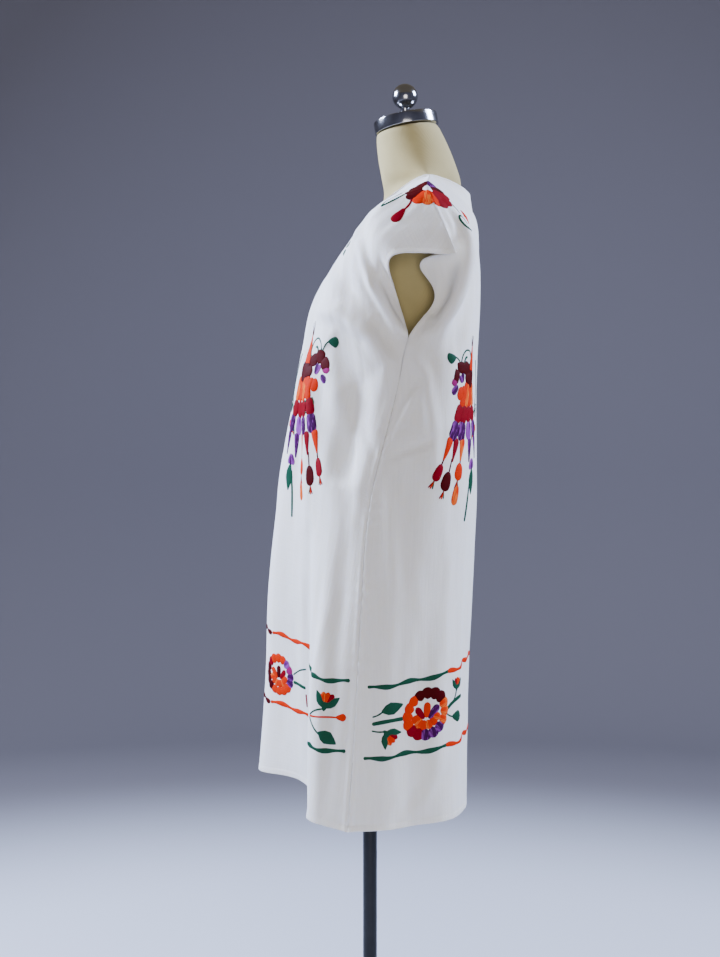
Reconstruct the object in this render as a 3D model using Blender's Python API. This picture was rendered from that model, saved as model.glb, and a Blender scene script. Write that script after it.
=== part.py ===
"""Embroidered cotton caftan dress on a limbless dress form with a pole stand.

The dress is two cut pieces, a front and a back, each with its cap sleeves cut in
one with it. They are sewn together at the shoulders, from the neck to the tip of
each cap, and down the sides, from the armholes to the hem. Metres, +Z up. The
wearer's front faces -Y and the wearer's left is +X. The origin is on the floor,
on the axis of the pole.
"""
import math
from collections import namedtuple

import bpy
import numpy as np

# Cloth and seams
CLOTH_WALL = 0.0015
SEAM_GAP = 0.0006

# Neck cap and finial, tilted with the top of the neck
NECK_TILT = math.radians(10.0)
CAP_RADIUS = 0.0482
CAP_HEIGHT = 0.017
CAP_CENTRE_Y = 0.0555
CAP_BASE_Z = 1.3945
FINIAL_RADIUS = 0.0191
FINIAL_STEM_RADIUS = 0.0065
FINIAL_STEM_HEIGHT = 0.0145

# Stand
FORM_BASE_Z = 0.770
FLANGE_RADIUS = 0.045
FLANGE_HEIGHT = 0.006
POLE_RADIUS = 0.0105
PLATE_RADIUS = 0.170
PLATE_HEIGHT = 0.006
PIECE_GAP = 0.0003
ROUND_SEGMENTS = 48

# How many faces lie between neighbouring columns and rows of the tables below
FACES_ACROSS = (3, 3, 4, 4, 4)
FACES_DOWN = (4, 2, 3, 3, 4, 5, 5, 4)
FORM_RING_POINTS = 44

# The neckline turns sharply into the shoulder seam at these columns, and the bend
# is gone this far down the cloth
NECK_CORNERS = (-2, 2)
NECK_CORNER_FADES = 0.08

# One row for each level of a cut piece, from its top edge to its hem. down is the
# length of cloth from the shoulder. The six points run from the middle of the
# piece to its left edge, and the right half mirrors them.
Level = namedtuple("Level", "name down middle breast strap shoulder cap edge")

FRONT = (
    Level("neckline and shoulder", 0.00, (0, -0.022, 1.219), (0.062, -0.009, 1.247),
          (0.082, 0.086, 1.3103), (0.165, 0.079, 1.274), (0.199, 0.099, 1.222), (0.215, 0.116, 1.176)),
    Level("upper chest", 0.10, (0, -0.054, 1.172), (0.056, -0.042, 1.188),
          (0.096, -0.004, 1.247), (0.161, -0.001, 1.236), (0.202, 0.003, 1.196), (0.215, 0.023, 1.164)),
    Level("mid armhole", 0.15, (0, -0.071, 1.148), (0.062, -0.068, 1.156),
          (0.100, -0.032, 1.206), (0.158, -0.026, 1.192), (0.195, 0.006, 1.150), (0.173, 0.038, 1.117)),
    Level("foot of armhole", 0.20, (0, -0.085, 1.118), (0.072, -0.084, 1.122),
          (0.108, -0.060, 1.163), (0.155, -0.046, 1.148), (0.182, -0.004, 1.104), (0.186, 0.051, 1.064)),
    Level("bust", 0.28, (0, -0.097, 1.045), (0.076, -0.099, 1.048),
          (0.117, -0.087, 1.056), (0.157, -0.058, 1.050), (0.185, -0.010, 1.018), (0.190, 0.034, 0.985)),
    Level("waist", 0.43, (0, -0.125, 0.897), (0.066, -0.127, 0.897),
          (0.111, -0.103, 0.893), (0.157, -0.076, 0.882), (0.195, -0.037, 0.860), (0.205, -0.001, 0.840)),
    Level("hip", 0.59, (0, -0.144, 0.740), (0.056, -0.144, 0.738),
          (0.105, -0.108, 0.730), (0.155, -0.083, 0.718), (0.203, -0.062, 0.700), (0.219, -0.014, 0.690)),
    Level("flower band", 0.75, (0, -0.152, 0.585), (0.050, -0.149, 0.580),
          (0.098, -0.104, 0.570), (0.154, -0.078, 0.556), (0.213, -0.084, 0.545), (0.231, -0.022, 0.540)),
    Level("hem", 0.90, (0, -0.163, 0.442), (0.046, -0.158, 0.441),
          (0.097, -0.102, 0.439), (0.158, -0.074, 0.420), (0.218, -0.087, 0.411), (0.239, -0.032, 0.398)),
)

BACK = (
    Level("neckline and shoulder", 0.00, (0, 0.148, 1.284), (0.048, 0.140, 1.2955),
          (0.082, 0.086, 1.3103), (0.165, 0.079, 1.274), (0.199, 0.099, 1.222), (0.215, 0.116, 1.176)),
    Level("shoulder blades", 0.07, (0, 0.155, 1.240), (0.050, 0.153, 1.243),
          (0.092, 0.147, 1.254), (0.150, 0.136, 1.228), (0.184, 0.130, 1.186), (0.171, 0.068, 1.168)),
    Level("mid armhole", 0.14, (0, 0.159, 1.175), (0.056, 0.159, 1.177),
          (0.100, 0.155, 1.184), (0.153, 0.138, 1.164), (0.189, 0.116, 1.118), (0.170, 0.088, 1.121)),
    Level("foot of armhole", 0.20, (0, 0.158, 1.115), (0.060, 0.158, 1.116),
          (0.106, 0.153, 1.118), (0.155, 0.135, 1.106), (0.188, 0.098, 1.074), (0.186, 0.051, 1.064)),
    Level("under bust", 0.28, (0, 0.152, 1.035), (0.060, 0.153, 1.035),
          (0.110, 0.151, 1.030), (0.158, 0.133, 1.022), (0.191, 0.095, 0.998), (0.190, 0.034, 0.985)),
    Level("waist", 0.43, (0, 0.149, 0.885), (0.064, 0.151, 0.885),
          (0.116, 0.148, 0.880), (0.164, 0.129, 0.870), (0.201, 0.083, 0.852), (0.205, -0.001, 0.840)),
    Level("hip", 0.59, (0, 0.142, 0.730), (0.068, 0.145, 0.730),
          (0.122, 0.140, 0.724), (0.172, 0.114, 0.715), (0.211, 0.062, 0.700), (0.219, -0.014, 0.690)),
    Level("flower band", 0.75, (0, 0.135, 0.570), (0.070, 0.139, 0.570),
          (0.127, 0.134, 0.565), (0.180, 0.107, 0.556), (0.222, 0.048, 0.547), (0.231, -0.022, 0.540)),
    Level("hem", 0.90, (0, 0.131, 0.412), (0.072, 0.137, 0.409),
          (0.132, 0.133, 0.408), (0.187, 0.105, 0.404), (0.229, 0.043, 0.400), (0.239, -0.032, 0.398)),
)

# One row for each large fold: where it starts and ends, as columns of the level
# tables (right half negative) and lengths of cloth from the shoulder, how far it
# reaches to each side in columns, and its height, negative for a trough.
Fold = namedtuple("Fold", "name column_from down_from column_to down_to reach height")

FRONT_FOLDS = (
    Fold("left drag below the bust", 1.9, 0.24, 4.3, 0.47, 0.75, -0.006),
    Fold("left ridge to the armhole", 3.2, 0.12, 4.4, 0.29, 0.55, 0.003),
    Fold("left panel flute", 3.0, 0.60, 3.1, 0.90, 0.60, 0.006),
    Fold("right drag below the bust", -1.8, 0.25, -4.2, 0.50, 0.70, -0.006),
    Fold("right ridge to the armhole", -3.2, 0.13, -4.3, 0.30, 0.55, 0.003),
    Fold("right side flute", -4.2, 0.52, -3.8, 0.90, 0.65, 0.006),
)
BACK_FOLDS = (
    Fold("left back flute", 2.7, 0.55, 2.9, 0.90, 0.80, 0.006),
    Fold("left side trough", 4.0, 0.50, 3.8, 0.90, 0.70, -0.008),
    Fold("middle trough", -0.4, 0.52, -0.2, 0.90, 1.10, -0.012),
    Fold("right back flute", -2.5, 0.50, -2.8, 0.90, 0.80, 0.007),
    Fold("right side trough", -3.9, 0.56, -3.9, 0.90, 0.70, -0.008),
)

# One row for each level of the dress form: half width, then how far it reaches to
# the front, where its side lies, how far it reaches to the back, and its squareness.
FormRing = namedtuple("FormRing", "name z half_width front side back power")

FORM = (
    FormRing("hip edge", FORM_BASE_Z, 0.150, -0.068, 0.025, 0.114, 2.3),
    FormRing("low hip", 0.800, 0.160, -0.077, 0.025, 0.124, 2.3),
    FormRing("full hip", 0.850, 0.166, -0.082, 0.026, 0.132, 2.3),
    FormRing("high hip", 0.905, 0.158, -0.080, 0.028, 0.128, 2.3),
    FormRing("belly", 0.960, 0.138, -0.071, 0.029, 0.112, 2.2),
    FormRing("waist", 1.010, 0.122, -0.062, 0.029, 0.098, 2.2),
    FormRing("ribs", 1.055, 0.127, -0.066, 0.034, 0.108, 2.2),
    FormRing("under bust", 1.095, 0.137, -0.072, 0.042, 0.127, 2.2),
    FormRing("bust", 1.125, 0.142, -0.070, 0.050, 0.138, 2.2),
    FormRing("over bust", 1.160, 0.144, -0.050, 0.058, 0.144, 2.3),
    FormRing("arm plate", 1.200, 0.147, -0.025, 0.067, 0.145, 2.3),
    FormRing("upper chest", 1.235, 0.151, -0.005, 0.074, 0.141, 2.3),
    FormRing("shoulder end", 1.254, 0.152, 0.007, 0.077, 0.136, 2.0),
    FormRing("shoulder top", 1.270, 0.149, 0.0155, 0.079, 0.130, 1.48),
    FormRing("shoulder slope", 1.281, 0.142, 0.018, 0.080, 0.130, 1.22),
    FormRing("mid shoulder", 1.2905, 0.1195, 0.0210, 0.082, 0.133, 1.04),
    FormRing("shoulder foot", 1.3010, 0.0895, 0.0210, 0.084, 0.135, 1.02),
    FormRing("neck root", 1.3090, 0.0725, 0.0195, 0.084, 0.137, 1.12),
    FormRing("neck foot", 1.319, 0.066, 0.0175, 0.080, 0.136, 1.50),
    FormRing("low neck", 1.331, 0.059, 0.0155, 0.074, 0.132, 1.80),
    FormRing("mid neck", 1.350, 0.053, 0.012, 0.068, 0.125, 2.0),
    FormRing("high neck", 1.370, 0.049, 0.010, 0.063, 0.117, 2.0),
)

# Colours of the pieces, linear, with roughness and metallic value
Finish = namedtuple("Finish", "name colour roughness metallic")
COTTON = Finish("white cotton", (0.86, 0.85, 0.82), 0.9, 0.0)
JERSEY = Finish("cream jersey", (0.72, 0.65, 0.45), 0.85, 0.0)
STEEL = Finish("brushed steel", (0.55, 0.55, 0.56), 0.25, 1.0)
BLACK = Finish("black enamel", (0.02, 0.02, 0.022), 0.4, 0.0)


def clear_scene():
    """Removes whatever the scene holds."""
    for obj in list(bpy.data.objects):
        bpy.data.objects.remove(obj, do_unlink=True)


def add_piece(name, points, faces, finish, smooth=True):
    """Makes one closed piece from points and faces and gives it its finish."""
    mesh = bpy.data.meshes.new(name)
    mesh.from_pydata([tuple(point) for point in points], [], faces)
    mesh.validate()
    if smooth:
        mesh.shade_smooth()
        mesh.set_sharp_from_angle(angle=math.radians(40.0))
    material = bpy.data.materials.get(finish.name) or bpy.data.materials.new(finish.name)
    material.use_nodes = True
    shader = material.node_tree.nodes["Principled BSDF"]
    shader.inputs["Base Color"].default_value = (*finish.colour, 1.0)
    shader.inputs["Roughness"].default_value = finish.roughness
    shader.inputs["Metallic"].default_value = finish.metallic
    mesh.materials.append(material)
    piece = bpy.data.objects.new(name, mesh)
    bpy.context.scene.collection.objects.link(piece)
    return piece


def smooth_curve(knots, points, where, corners=(), sharpness=0.0, arched=False):
    """Reads a smooth curve through points at uneven knots, bent sharply at its corners.

    An arched curve runs level into a corner from the side of the middle.
    """
    knots = np.asarray(knots, dtype=float)
    points = np.asarray(points, dtype=float)
    steps = np.diff(knots)[:, None]
    slopes = np.diff(points, axis=0) / steps
    tangents = np.empty_like(points)
    tangents[0] = slopes[0]
    tangents[-1] = slopes[-1]
    tangents[1:-1] = (slopes[:-1] * steps[1:] + slopes[1:] * steps[:-1]) / (steps[1:] + steps[:-1])
    index = min(max(int(np.searchsorted(knots, where, side="right")) - 1, 0), len(knots) - 2)
    leaving, arriving = tangents[index], tangents[index + 1]
    if knots[index] in corners:
        target = 0.0 if arched and knots[index] < 0 else slopes[index]
        leaving = leaving + (target - leaving) * sharpness
    if knots[index + 1] in corners:
        target = 0.0 if arched and knots[index + 1] > 0 else slopes[index]
        arriving = arriving + (target - arriving) * sharpness
    step = knots[index + 1] - knots[index]
    t = (where - knots[index]) / step
    start = (1 + 2 * t) * (1 - t) ** 2 * points[index] + t * (1 - t) ** 2 * step * leaving
    end = t * t * (3 - 2 * t) * points[index + 1] + t * t * (t - 1) * step * arriving
    return start + end


def spread(counts, knots):
    """Places evenly spaced values between neighbouring knots, counts of them each."""
    values = [knots[0]]
    for count, low, high in zip(counts, knots[:-1], knots[1:]):
        values.extend(low + (high - low) * (i + 1) / count for i in range(count))
    return values


def level_points(level):
    """The points of a level from the right edge to the left one."""
    half = [np.array(point, dtype=float) for point in level[2:]]
    mirror = np.array((-1.0, 1.0, 1.0))
    return [point * mirror for point in half[:0:-1]] + half


def level_point(stations, column, sharpness):
    """One point of a level; the neckline arches over the shoulder."""
    columns = range(-5, 6)
    point = smooth_curve(columns, stations, column, NECK_CORNERS, sharpness)
    point[2] = smooth_curve(columns, stations, column, NECK_CORNERS, sharpness, arched=True)[2]
    return point


def fold_height(folds, column, down):
    """Adds up the height of the folds at one place of a piece."""
    total = 0.0
    for fold in folds:
        length = fold.down_to - fold.down_from
        along = (down - fold.down_from) / length
        if not 0.0 < along:
            continue
        middle = fold.column_from + (fold.column_to - fold.column_from) * min(along, 1.0)
        off = abs(column - middle) / fold.reach
        if off >= 1.0:
            continue
        runs_to_hem = fold.down_to >= FRONT[-1].down
        lasting = math.sin(math.pi * min(along, 1.0) * (0.5 if runs_to_hem else 1.0))
        total += fold.height * lasting * (0.5 + 0.5 * math.cos(math.pi * off))
    return total


def unit(vectors):
    """Scales vectors to length one."""
    return vectors / np.maximum(np.linalg.norm(vectors, axis=-1, keepdims=True), 1e-12)


def grid_normals(grid, outward):
    """Normals of a grid of points; outward is 1 or -1 and turns them out."""
    across = np.gradient(grid, axis=1)
    down = np.gradient(grid, axis=0)
    return unit(np.cross(across, down)) * outward


def panel_grid(levels, folds, outward):
    """The outer surface of a cut piece as a grid of rows from shoulder to hem."""
    columns = spread(FACES_ACROSS[::-1] + FACES_ACROSS, list(range(-5, 6)))
    downs = spread(FACES_DOWN, [level.down for level in levels])
    knots = [level.down for level in levels]
    nets = [level_points(level) for level in levels]
    lines = [[net[i] for net in nets] for i in range(len(nets[0]))]
    rows = []
    for down in downs:
        stations = [smooth_curve(knots, line, down) for line in lines]
        sharpness = max(0.0, 1.0 - down / NECK_CORNER_FADES)
        rows.append([level_point(stations, column, sharpness) for column in columns])
    grid = np.array(rows)
    normals = grid_normals(grid, outward)
    heights = np.array([[fold_height(folds, column, down) for column in columns] for down in downs])
    return grid + normals * heights[:, :, None]


def shared_edges(rows, columns):
    """The grid places where the front and the back are sewn: caps, shoulders and sides."""
    strap = sum(FACES_ACROSS[:2])
    middle = columns // 2
    armhole_foot = sum(FACES_DOWN[:3])
    places = [(0, j) for j in range(columns) if abs(j - middle) >= strap]
    places += [(i, j) for i in range(armhole_foot, rows) for j in (0, columns - 1)]
    return places


def wall(name, grid, normals, faces_out):
    """A closed wall of cloth from its outer points and the way its thickness runs."""
    rows, columns, _ = grid.shape
    inner = grid - normals * CLOTH_WALL
    points = np.concatenate([grid.reshape(-1, 3), inner.reshape(-1, 3)])
    count = rows * columns

    def outer(i, j):
        return i * columns + j

    faces = []
    for i in range(rows - 1):
        for j in range(columns - 1):
            quad = [outer(i, j), outer(i, j + 1), outer(i + 1, j + 1), outer(i + 1, j)]
            faces.append(quad)
            faces.append([index + count for index in quad[::-1]])
    rim = [outer(0, j) for j in range(columns)]
    rim += [outer(i, columns - 1) for i in range(1, rows)]
    rim += [outer(rows - 1, j) for j in range(columns - 2, -1, -1)]
    rim += [outer(i, 0) for i in range(rows - 2, 0, -1)]
    for start, end in zip(rim, rim[1:] + rim[:1]):
        faces.append([end, start, start + count, end + count])
    if not faces_out:
        faces = [face[::-1] for face in faces]
    return add_piece(name, points, faces, COTTON)


def build_dress():
    """The front and the back, with the seams between them left open by the seam gap."""
    front = panel_grid(FRONT, FRONT_FOLDS, -1.0)
    back = panel_grid(BACK, BACK_FOLDS, 1.0)
    rows, columns, _ = front.shape
    places = shared_edges(rows, columns)
    for i, j in places:
        back[i, j] = front[i, j]
    front_normals = grid_normals(front, -1.0)
    back_normals = grid_normals(back, 1.0)
    for i, j in places:
        shared = unit(front_normals[i, j] + back_normals[i, j])
        front_normals[i, j] = shared
        back_normals[i, j] = shared
    for grid, normals in ((front, front_normals), (back, back_normals)):
        moved = grid.copy()
        for i, j in places:
            inside = np.zeros(3)
            if i == 0:
                inside += unit(grid[1, j] - grid[0, j])
            if j in (0, columns - 1) and i >= sum(FACES_DOWN[:3]):
                step = 1 if j == 0 else -1
                inside += unit(grid[i, j + step] - grid[i, j])
            inside -= normals[i, j] * np.dot(inside, normals[i, j])
            moved[i, j] = grid[i, j] + unit(inside) * SEAM_GAP / 2
        grid[:] = moved
    wall("front", front, front_normals, faces_out=False)
    wall("back", back, back_normals, faces_out=True)


def ring_points(ring):
    """One level of the dress form as a rounded, slightly squared ring."""
    points = []
    for i in range(FORM_RING_POINTS):
        angle = 2 * math.pi * i / FORM_RING_POINTS
        cosine, sine = math.cos(angle), math.sin(angle)
        x = ring.half_width * math.copysign(abs(cosine) ** (2 / ring.power), cosine)
        depth = ring.back - ring.side if sine > 0 else ring.side - ring.front
        y = ring.side + depth * math.copysign(abs(sine) ** (2 / ring.power), sine)
        points.append((x, y, ring.z))
    return points


def neck_ring(radius, height):
    """A round ring on the tilted axis of the neck cap, at a height above its foot."""
    points = []
    centre_y = CAP_CENTRE_Y - height * math.sin(NECK_TILT)
    centre_z = CAP_BASE_Z + height * math.cos(NECK_TILT)
    for i in range(FORM_RING_POINTS):
        angle = 2 * math.pi * i / FORM_RING_POINTS
        x = radius * math.cos(angle)
        across = radius * math.sin(angle)
        points.append((x, centre_y + across * math.cos(NECK_TILT), centre_z + across * math.sin(NECK_TILT)))
    return points


def loft(name, rings, finish):
    """A closed piece through rings of equal count, from the bottom one to the top one."""
    count = len(rings[0])
    points = [point for ring in rings for point in ring]
    bottom = len(points)
    points.append(tuple(np.mean(rings[0], axis=0)))
    points.append(tuple(np.mean(rings[-1], axis=0)))
    top_start = (len(rings) - 1) * count
    faces = []
    for level in range(len(rings) - 1):
        for i in range(count):
            j = (i + 1) % count
            low, high = level * count, (level + 1) * count
            faces.append([low + i, low + j, high + j, high + i])
    for i in range(count):
        j = (i + 1) % count
        faces.append([bottom, j, i])
        faces.append([bottom + 1, top_start + i, top_start + j])
    return add_piece(name, points, faces, finish)


def turned(name, profile, finish):
    """A round piece about the pole's axis, through (radius, z) from bottom to top."""
    rings = []
    for radius, z in profile:
        steps = [2 * math.pi * i / ROUND_SEGMENTS for i in range(ROUND_SEGMENTS)]
        rings.append([(radius * math.cos(angle), radius * math.sin(angle), z) for angle in steps])
    return loft(name, rings, finish)


def build_form():
    """The dress form: one smooth closed body from the hips to the tilted neck top."""
    rings = [ring_points(ring) for ring in FORM]
    neck_radius = CAP_RADIUS - 0.0012
    rings.append(neck_ring(neck_radius, -0.004))
    rings.append(neck_ring(neck_radius - 0.0015, -PIECE_GAP))
    loft("form_torso", rings, JERSEY)


def build_neck_cap():
    """The steel cap on the neck, and the ball finial that stands on it."""
    edge = 0.001
    profile = (
        (CAP_RADIUS - edge, 0.0), (CAP_RADIUS, edge),
        (CAP_RADIUS, CAP_HEIGHT - edge), (CAP_RADIUS - edge, CAP_HEIGHT),
    )
    loft("neck_cap", [neck_ring(radius, height) for radius, height in profile], STEEL)
    centre_y = CAP_CENTRE_Y - CAP_HEIGHT * math.sin(NECK_TILT)
    foot_z = CAP_BASE_Z + CAP_HEIGHT * math.cos(NECK_TILT)
    profile = [(FINIAL_STEM_RADIUS, 0.0), (FINIAL_STEM_RADIUS, FINIAL_STEM_HEIGHT)]
    first = math.asin(FINIAL_STEM_RADIUS / FINIAL_RADIUS)
    centre = FINIAL_STEM_HEIGHT + FINIAL_RADIUS * math.cos(first)
    steps = 12
    for i in range(1, steps):
        angle = first + (math.pi - first) * i / steps
        profile.append((FINIAL_RADIUS * math.sin(angle), centre - FINIAL_RADIUS * math.cos(angle)))
    rings = []
    for radius, height in profile:
        ring = []
        for i in range(ROUND_SEGMENTS // 2):
            turn = 4 * math.pi * i / ROUND_SEGMENTS
            y = radius * math.sin(turn)
            lift = (y * math.tan(NECK_TILT) if height == 0.0 else 0.0) + PIECE_GAP
            ring.append((radius * math.cos(turn), centre_y + y, foot_z + height + lift))
        rings.append(ring)
    loft("neck_finial", rings, STEEL)


def build_stand():
    """The flange under the form, the pole, and the round floor plate that it stands on."""
    flange_top = FORM_BASE_Z - PIECE_GAP
    flange_foot = flange_top - FLANGE_HEIGHT
    pole_foot = PLATE_HEIGHT + PIECE_GAP
    edge = 0.0015
    turned("flange", ((FLANGE_RADIUS, flange_foot), (FLANGE_RADIUS, flange_top)), BLACK)
    turned("pole", ((POLE_RADIUS, pole_foot), (POLE_RADIUS, flange_foot - PIECE_GAP)), BLACK)
    turned("floor_plate", (
        (PLATE_RADIUS, 0.0), (PLATE_RADIUS, PLATE_HEIGHT - edge), (PLATE_RADIUS - edge, PLATE_HEIGHT),
    ), BLACK)


def main():
    """Builds the dress and what it hangs on."""
    clear_scene()
    build_dress()
    build_form()
    build_neck_cap()
    build_stand()


main()
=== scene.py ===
"""Embroidered cotton caftan dress on a limbless dress form with a pole stand.

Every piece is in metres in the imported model's frame. The wearer's front faces -Y,
the wearer's left is +X, and the origin is on the floor on the axis of the pole.
The dress is a front and a back, cut from flat cotton with the cap sleeves in one
with them, sewn at the shoulders and the sides, and embroidered by hand.
"""
import math
from collections import namedtuple

import bpy
import numpy as np
from bpy.props import FloatProperty, FloatVectorProperty, IntProperty, PointerProperty
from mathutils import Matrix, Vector, noise
from mathutils.bvhtree import BVHTree


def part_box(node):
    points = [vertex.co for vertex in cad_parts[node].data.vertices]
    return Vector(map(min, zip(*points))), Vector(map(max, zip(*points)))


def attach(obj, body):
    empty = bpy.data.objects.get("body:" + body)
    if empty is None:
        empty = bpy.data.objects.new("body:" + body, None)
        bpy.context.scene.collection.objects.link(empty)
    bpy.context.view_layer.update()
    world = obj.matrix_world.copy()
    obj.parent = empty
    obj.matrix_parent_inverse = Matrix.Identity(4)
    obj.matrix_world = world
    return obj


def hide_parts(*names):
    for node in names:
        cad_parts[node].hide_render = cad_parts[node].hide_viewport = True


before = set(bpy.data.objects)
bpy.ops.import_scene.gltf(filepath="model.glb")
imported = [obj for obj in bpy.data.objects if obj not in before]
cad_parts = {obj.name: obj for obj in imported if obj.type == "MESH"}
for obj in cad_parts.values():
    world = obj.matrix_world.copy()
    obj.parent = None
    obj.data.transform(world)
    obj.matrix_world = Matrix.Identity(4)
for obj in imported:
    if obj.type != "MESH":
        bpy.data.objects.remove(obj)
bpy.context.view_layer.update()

bl_info = {
    "name": "Caftan dress on a dress form",
    "version": (1, 0, 0),
    "blender": (4, 5, 0),
    "location": "View3D > Sidebar > Dress",
    "description": "Builds an embroidered cotton caftan dress and the form that it hangs on",
    "category": "Object",
}

MM = 0.001
NEAR = 1e-6
SIDEBAR = "Dress"


def linear(hex_colour):
    """Turns an sRGB hex colour into linear red, green and blue."""
    channels = [int(hex_colour[i:i + 2], 16) / 255 for i in (1, 3, 5)]
    return tuple(c / 12.92 if c <= 0.04045 else ((c + 0.055) / 1.055) ** 2.4 for c in channels)


# The cut of the dress

# How many faces lie between neighbouring columns and rows of the tables below, and
# how many times finer the cloth is made here
FACES_ACROSS = (3, 3, 4, 4, 4)
FACES_DOWN = (4, 2, 3, 3, 4, 5, 5, 4)
FINER_ACROSS = 4
FINER_DOWN = 6

# The neckline turns sharply into the shoulder seam at these columns, and the bend
# is gone this far down the cloth
NECK_CORNERS = (-2, 2)
NECK_CORNER_FADES = 0.08
ARMHOLE_FOOT = 0.20
HEM_DOWN = 0.90

# One row for each level of a cut piece, from its top edge to its hem. down is the
# length of cloth from the shoulder. The six points run from the middle of the
# piece to its left edge, and the right half mirrors them.
Level = namedtuple("Level", "name down middle breast strap shoulder cap edge")

FRONT = (
    Level("neckline and shoulder", 0.00, (0, -0.022, 1.219), (0.062, -0.009, 1.247),
          (0.082, 0.086, 1.3103), (0.165, 0.079, 1.274), (0.199, 0.099, 1.222), (0.215, 0.116, 1.176)),
    Level("upper chest", 0.10, (0, -0.054, 1.172), (0.056, -0.042, 1.188),
          (0.096, -0.004, 1.247), (0.161, -0.001, 1.236), (0.202, 0.003, 1.196), (0.215, 0.023, 1.164)),
    Level("mid armhole", 0.15, (0, -0.071, 1.148), (0.062, -0.068, 1.156),
          (0.100, -0.032, 1.206), (0.158, -0.026, 1.192), (0.195, 0.006, 1.150), (0.173, 0.038, 1.117)),
    Level("foot of armhole", 0.20, (0, -0.085, 1.118), (0.072, -0.084, 1.122),
          (0.108, -0.060, 1.163), (0.155, -0.046, 1.148), (0.182, -0.004, 1.104), (0.186, 0.051, 1.064)),
    Level("bust", 0.28, (0, -0.097, 1.045), (0.076, -0.099, 1.048),
          (0.117, -0.087, 1.056), (0.157, -0.058, 1.050), (0.185, -0.010, 1.018), (0.190, 0.034, 0.985)),
    Level("waist", 0.43, (0, -0.125, 0.897), (0.066, -0.127, 0.897),
          (0.111, -0.103, 0.893), (0.157, -0.076, 0.882), (0.195, -0.037, 0.860), (0.205, -0.001, 0.840)),
    Level("hip", 0.59, (0, -0.144, 0.740), (0.056, -0.144, 0.738),
          (0.105, -0.108, 0.730), (0.155, -0.083, 0.718), (0.203, -0.062, 0.700), (0.219, -0.014, 0.690)),
    Level("flower band", 0.75, (0, -0.152, 0.585), (0.050, -0.149, 0.580),
          (0.098, -0.104, 0.570), (0.154, -0.078, 0.556), (0.213, -0.084, 0.545), (0.231, -0.022, 0.540)),
    Level("hem", 0.90, (0, -0.163, 0.442), (0.046, -0.158, 0.441),
          (0.097, -0.102, 0.439), (0.158, -0.074, 0.420), (0.218, -0.087, 0.411), (0.239, -0.032, 0.398)),
)

BACK = (
    Level("neckline and shoulder", 0.00, (0, 0.148, 1.284), (0.048, 0.140, 1.2955),
          (0.082, 0.086, 1.3103), (0.165, 0.079, 1.274), (0.199, 0.099, 1.222), (0.215, 0.116, 1.176)),
    Level("shoulder blades", 0.07, (0, 0.155, 1.240), (0.050, 0.153, 1.243),
          (0.092, 0.147, 1.254), (0.150, 0.136, 1.228), (0.184, 0.130, 1.186), (0.171, 0.068, 1.168)),
    Level("mid armhole", 0.14, (0, 0.159, 1.175), (0.056, 0.159, 1.177),
          (0.100, 0.155, 1.184), (0.153, 0.138, 1.164), (0.189, 0.116, 1.118), (0.170, 0.088, 1.121)),
    Level("foot of armhole", 0.20, (0, 0.158, 1.115), (0.060, 0.158, 1.116),
          (0.106, 0.153, 1.118), (0.155, 0.135, 1.106), (0.188, 0.098, 1.074), (0.186, 0.051, 1.064)),
    Level("under bust", 0.28, (0, 0.152, 1.035), (0.060, 0.153, 1.035),
          (0.110, 0.151, 1.030), (0.158, 0.133, 1.022), (0.191, 0.095, 0.998), (0.190, 0.034, 0.985)),
    Level("waist", 0.43, (0, 0.149, 0.885), (0.064, 0.151, 0.885),
          (0.116, 0.148, 0.880), (0.164, 0.129, 0.870), (0.201, 0.083, 0.852), (0.205, -0.001, 0.840)),
    Level("hip", 0.59, (0, 0.142, 0.730), (0.068, 0.145, 0.730),
          (0.122, 0.140, 0.724), (0.172, 0.114, 0.715), (0.211, 0.062, 0.700), (0.219, -0.014, 0.690)),
    Level("flower band", 0.75, (0, 0.135, 0.570), (0.070, 0.139, 0.570),
          (0.127, 0.134, 0.565), (0.180, 0.107, 0.556), (0.222, 0.048, 0.547), (0.231, -0.022, 0.540)),
    Level("hem", 0.90, (0, 0.131, 0.412), (0.072, 0.137, 0.409),
          (0.132, 0.133, 0.408), (0.187, 0.105, 0.404), (0.229, 0.043, 0.400), (0.239, -0.032, 0.398)),
)

# One row for each large fold: where it starts and ends, as columns of the level
# tables (right half negative) and lengths of cloth from the shoulder, how far it
# reaches to each side in columns, and its height, negative for a trough.
Fold = namedtuple("Fold", "name column_from down_from column_to down_to reach height")

FRONT_FOLDS = (
    Fold("left drag below the bust", 1.9, 0.24, 4.3, 0.47, 0.75, -0.006),
    Fold("left ridge to the armhole", 3.2, 0.12, 4.4, 0.29, 0.55, 0.003),
    Fold("left panel flute", 3.0, 0.60, 3.1, 0.90, 0.60, 0.006),
    Fold("right drag below the bust", -1.8, 0.25, -4.2, 0.50, 0.70, -0.006),
    Fold("right ridge to the armhole", -3.2, 0.13, -4.3, 0.30, 0.55, 0.003),
    Fold("right side flute", -4.2, 0.52, -3.8, 0.90, 0.65, 0.006),
)
BACK_FOLDS = (
    Fold("left back flute", 2.7, 0.55, 2.9, 0.90, 0.80, 0.006),
    Fold("left side trough", 4.0, 0.50, 3.8, 0.90, 0.70, -0.008),
    Fold("middle trough", -0.4, 0.52, -0.2, 0.90, 1.10, -0.012),
    Fold("right back flute", -2.5, 0.50, -2.8, 0.90, 0.80, 0.007),
    Fold("right side trough", -3.9, 0.56, -3.9, 0.90, 0.70, -0.008),
)

# Small creases that the cloth shows beside its large folds. The path runs through
# places on the cut piece, each a column of the tables and a length of cloth from
# the shoulder. Width and height are in millimetres, the height negative for a
# trough. A crease with a hidden twin is pressed into the right half as well, to a
# share of its height.
TWIN_SHARE = 0.8
Crease = namedtuple("Crease", "name path width height twin")

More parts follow.
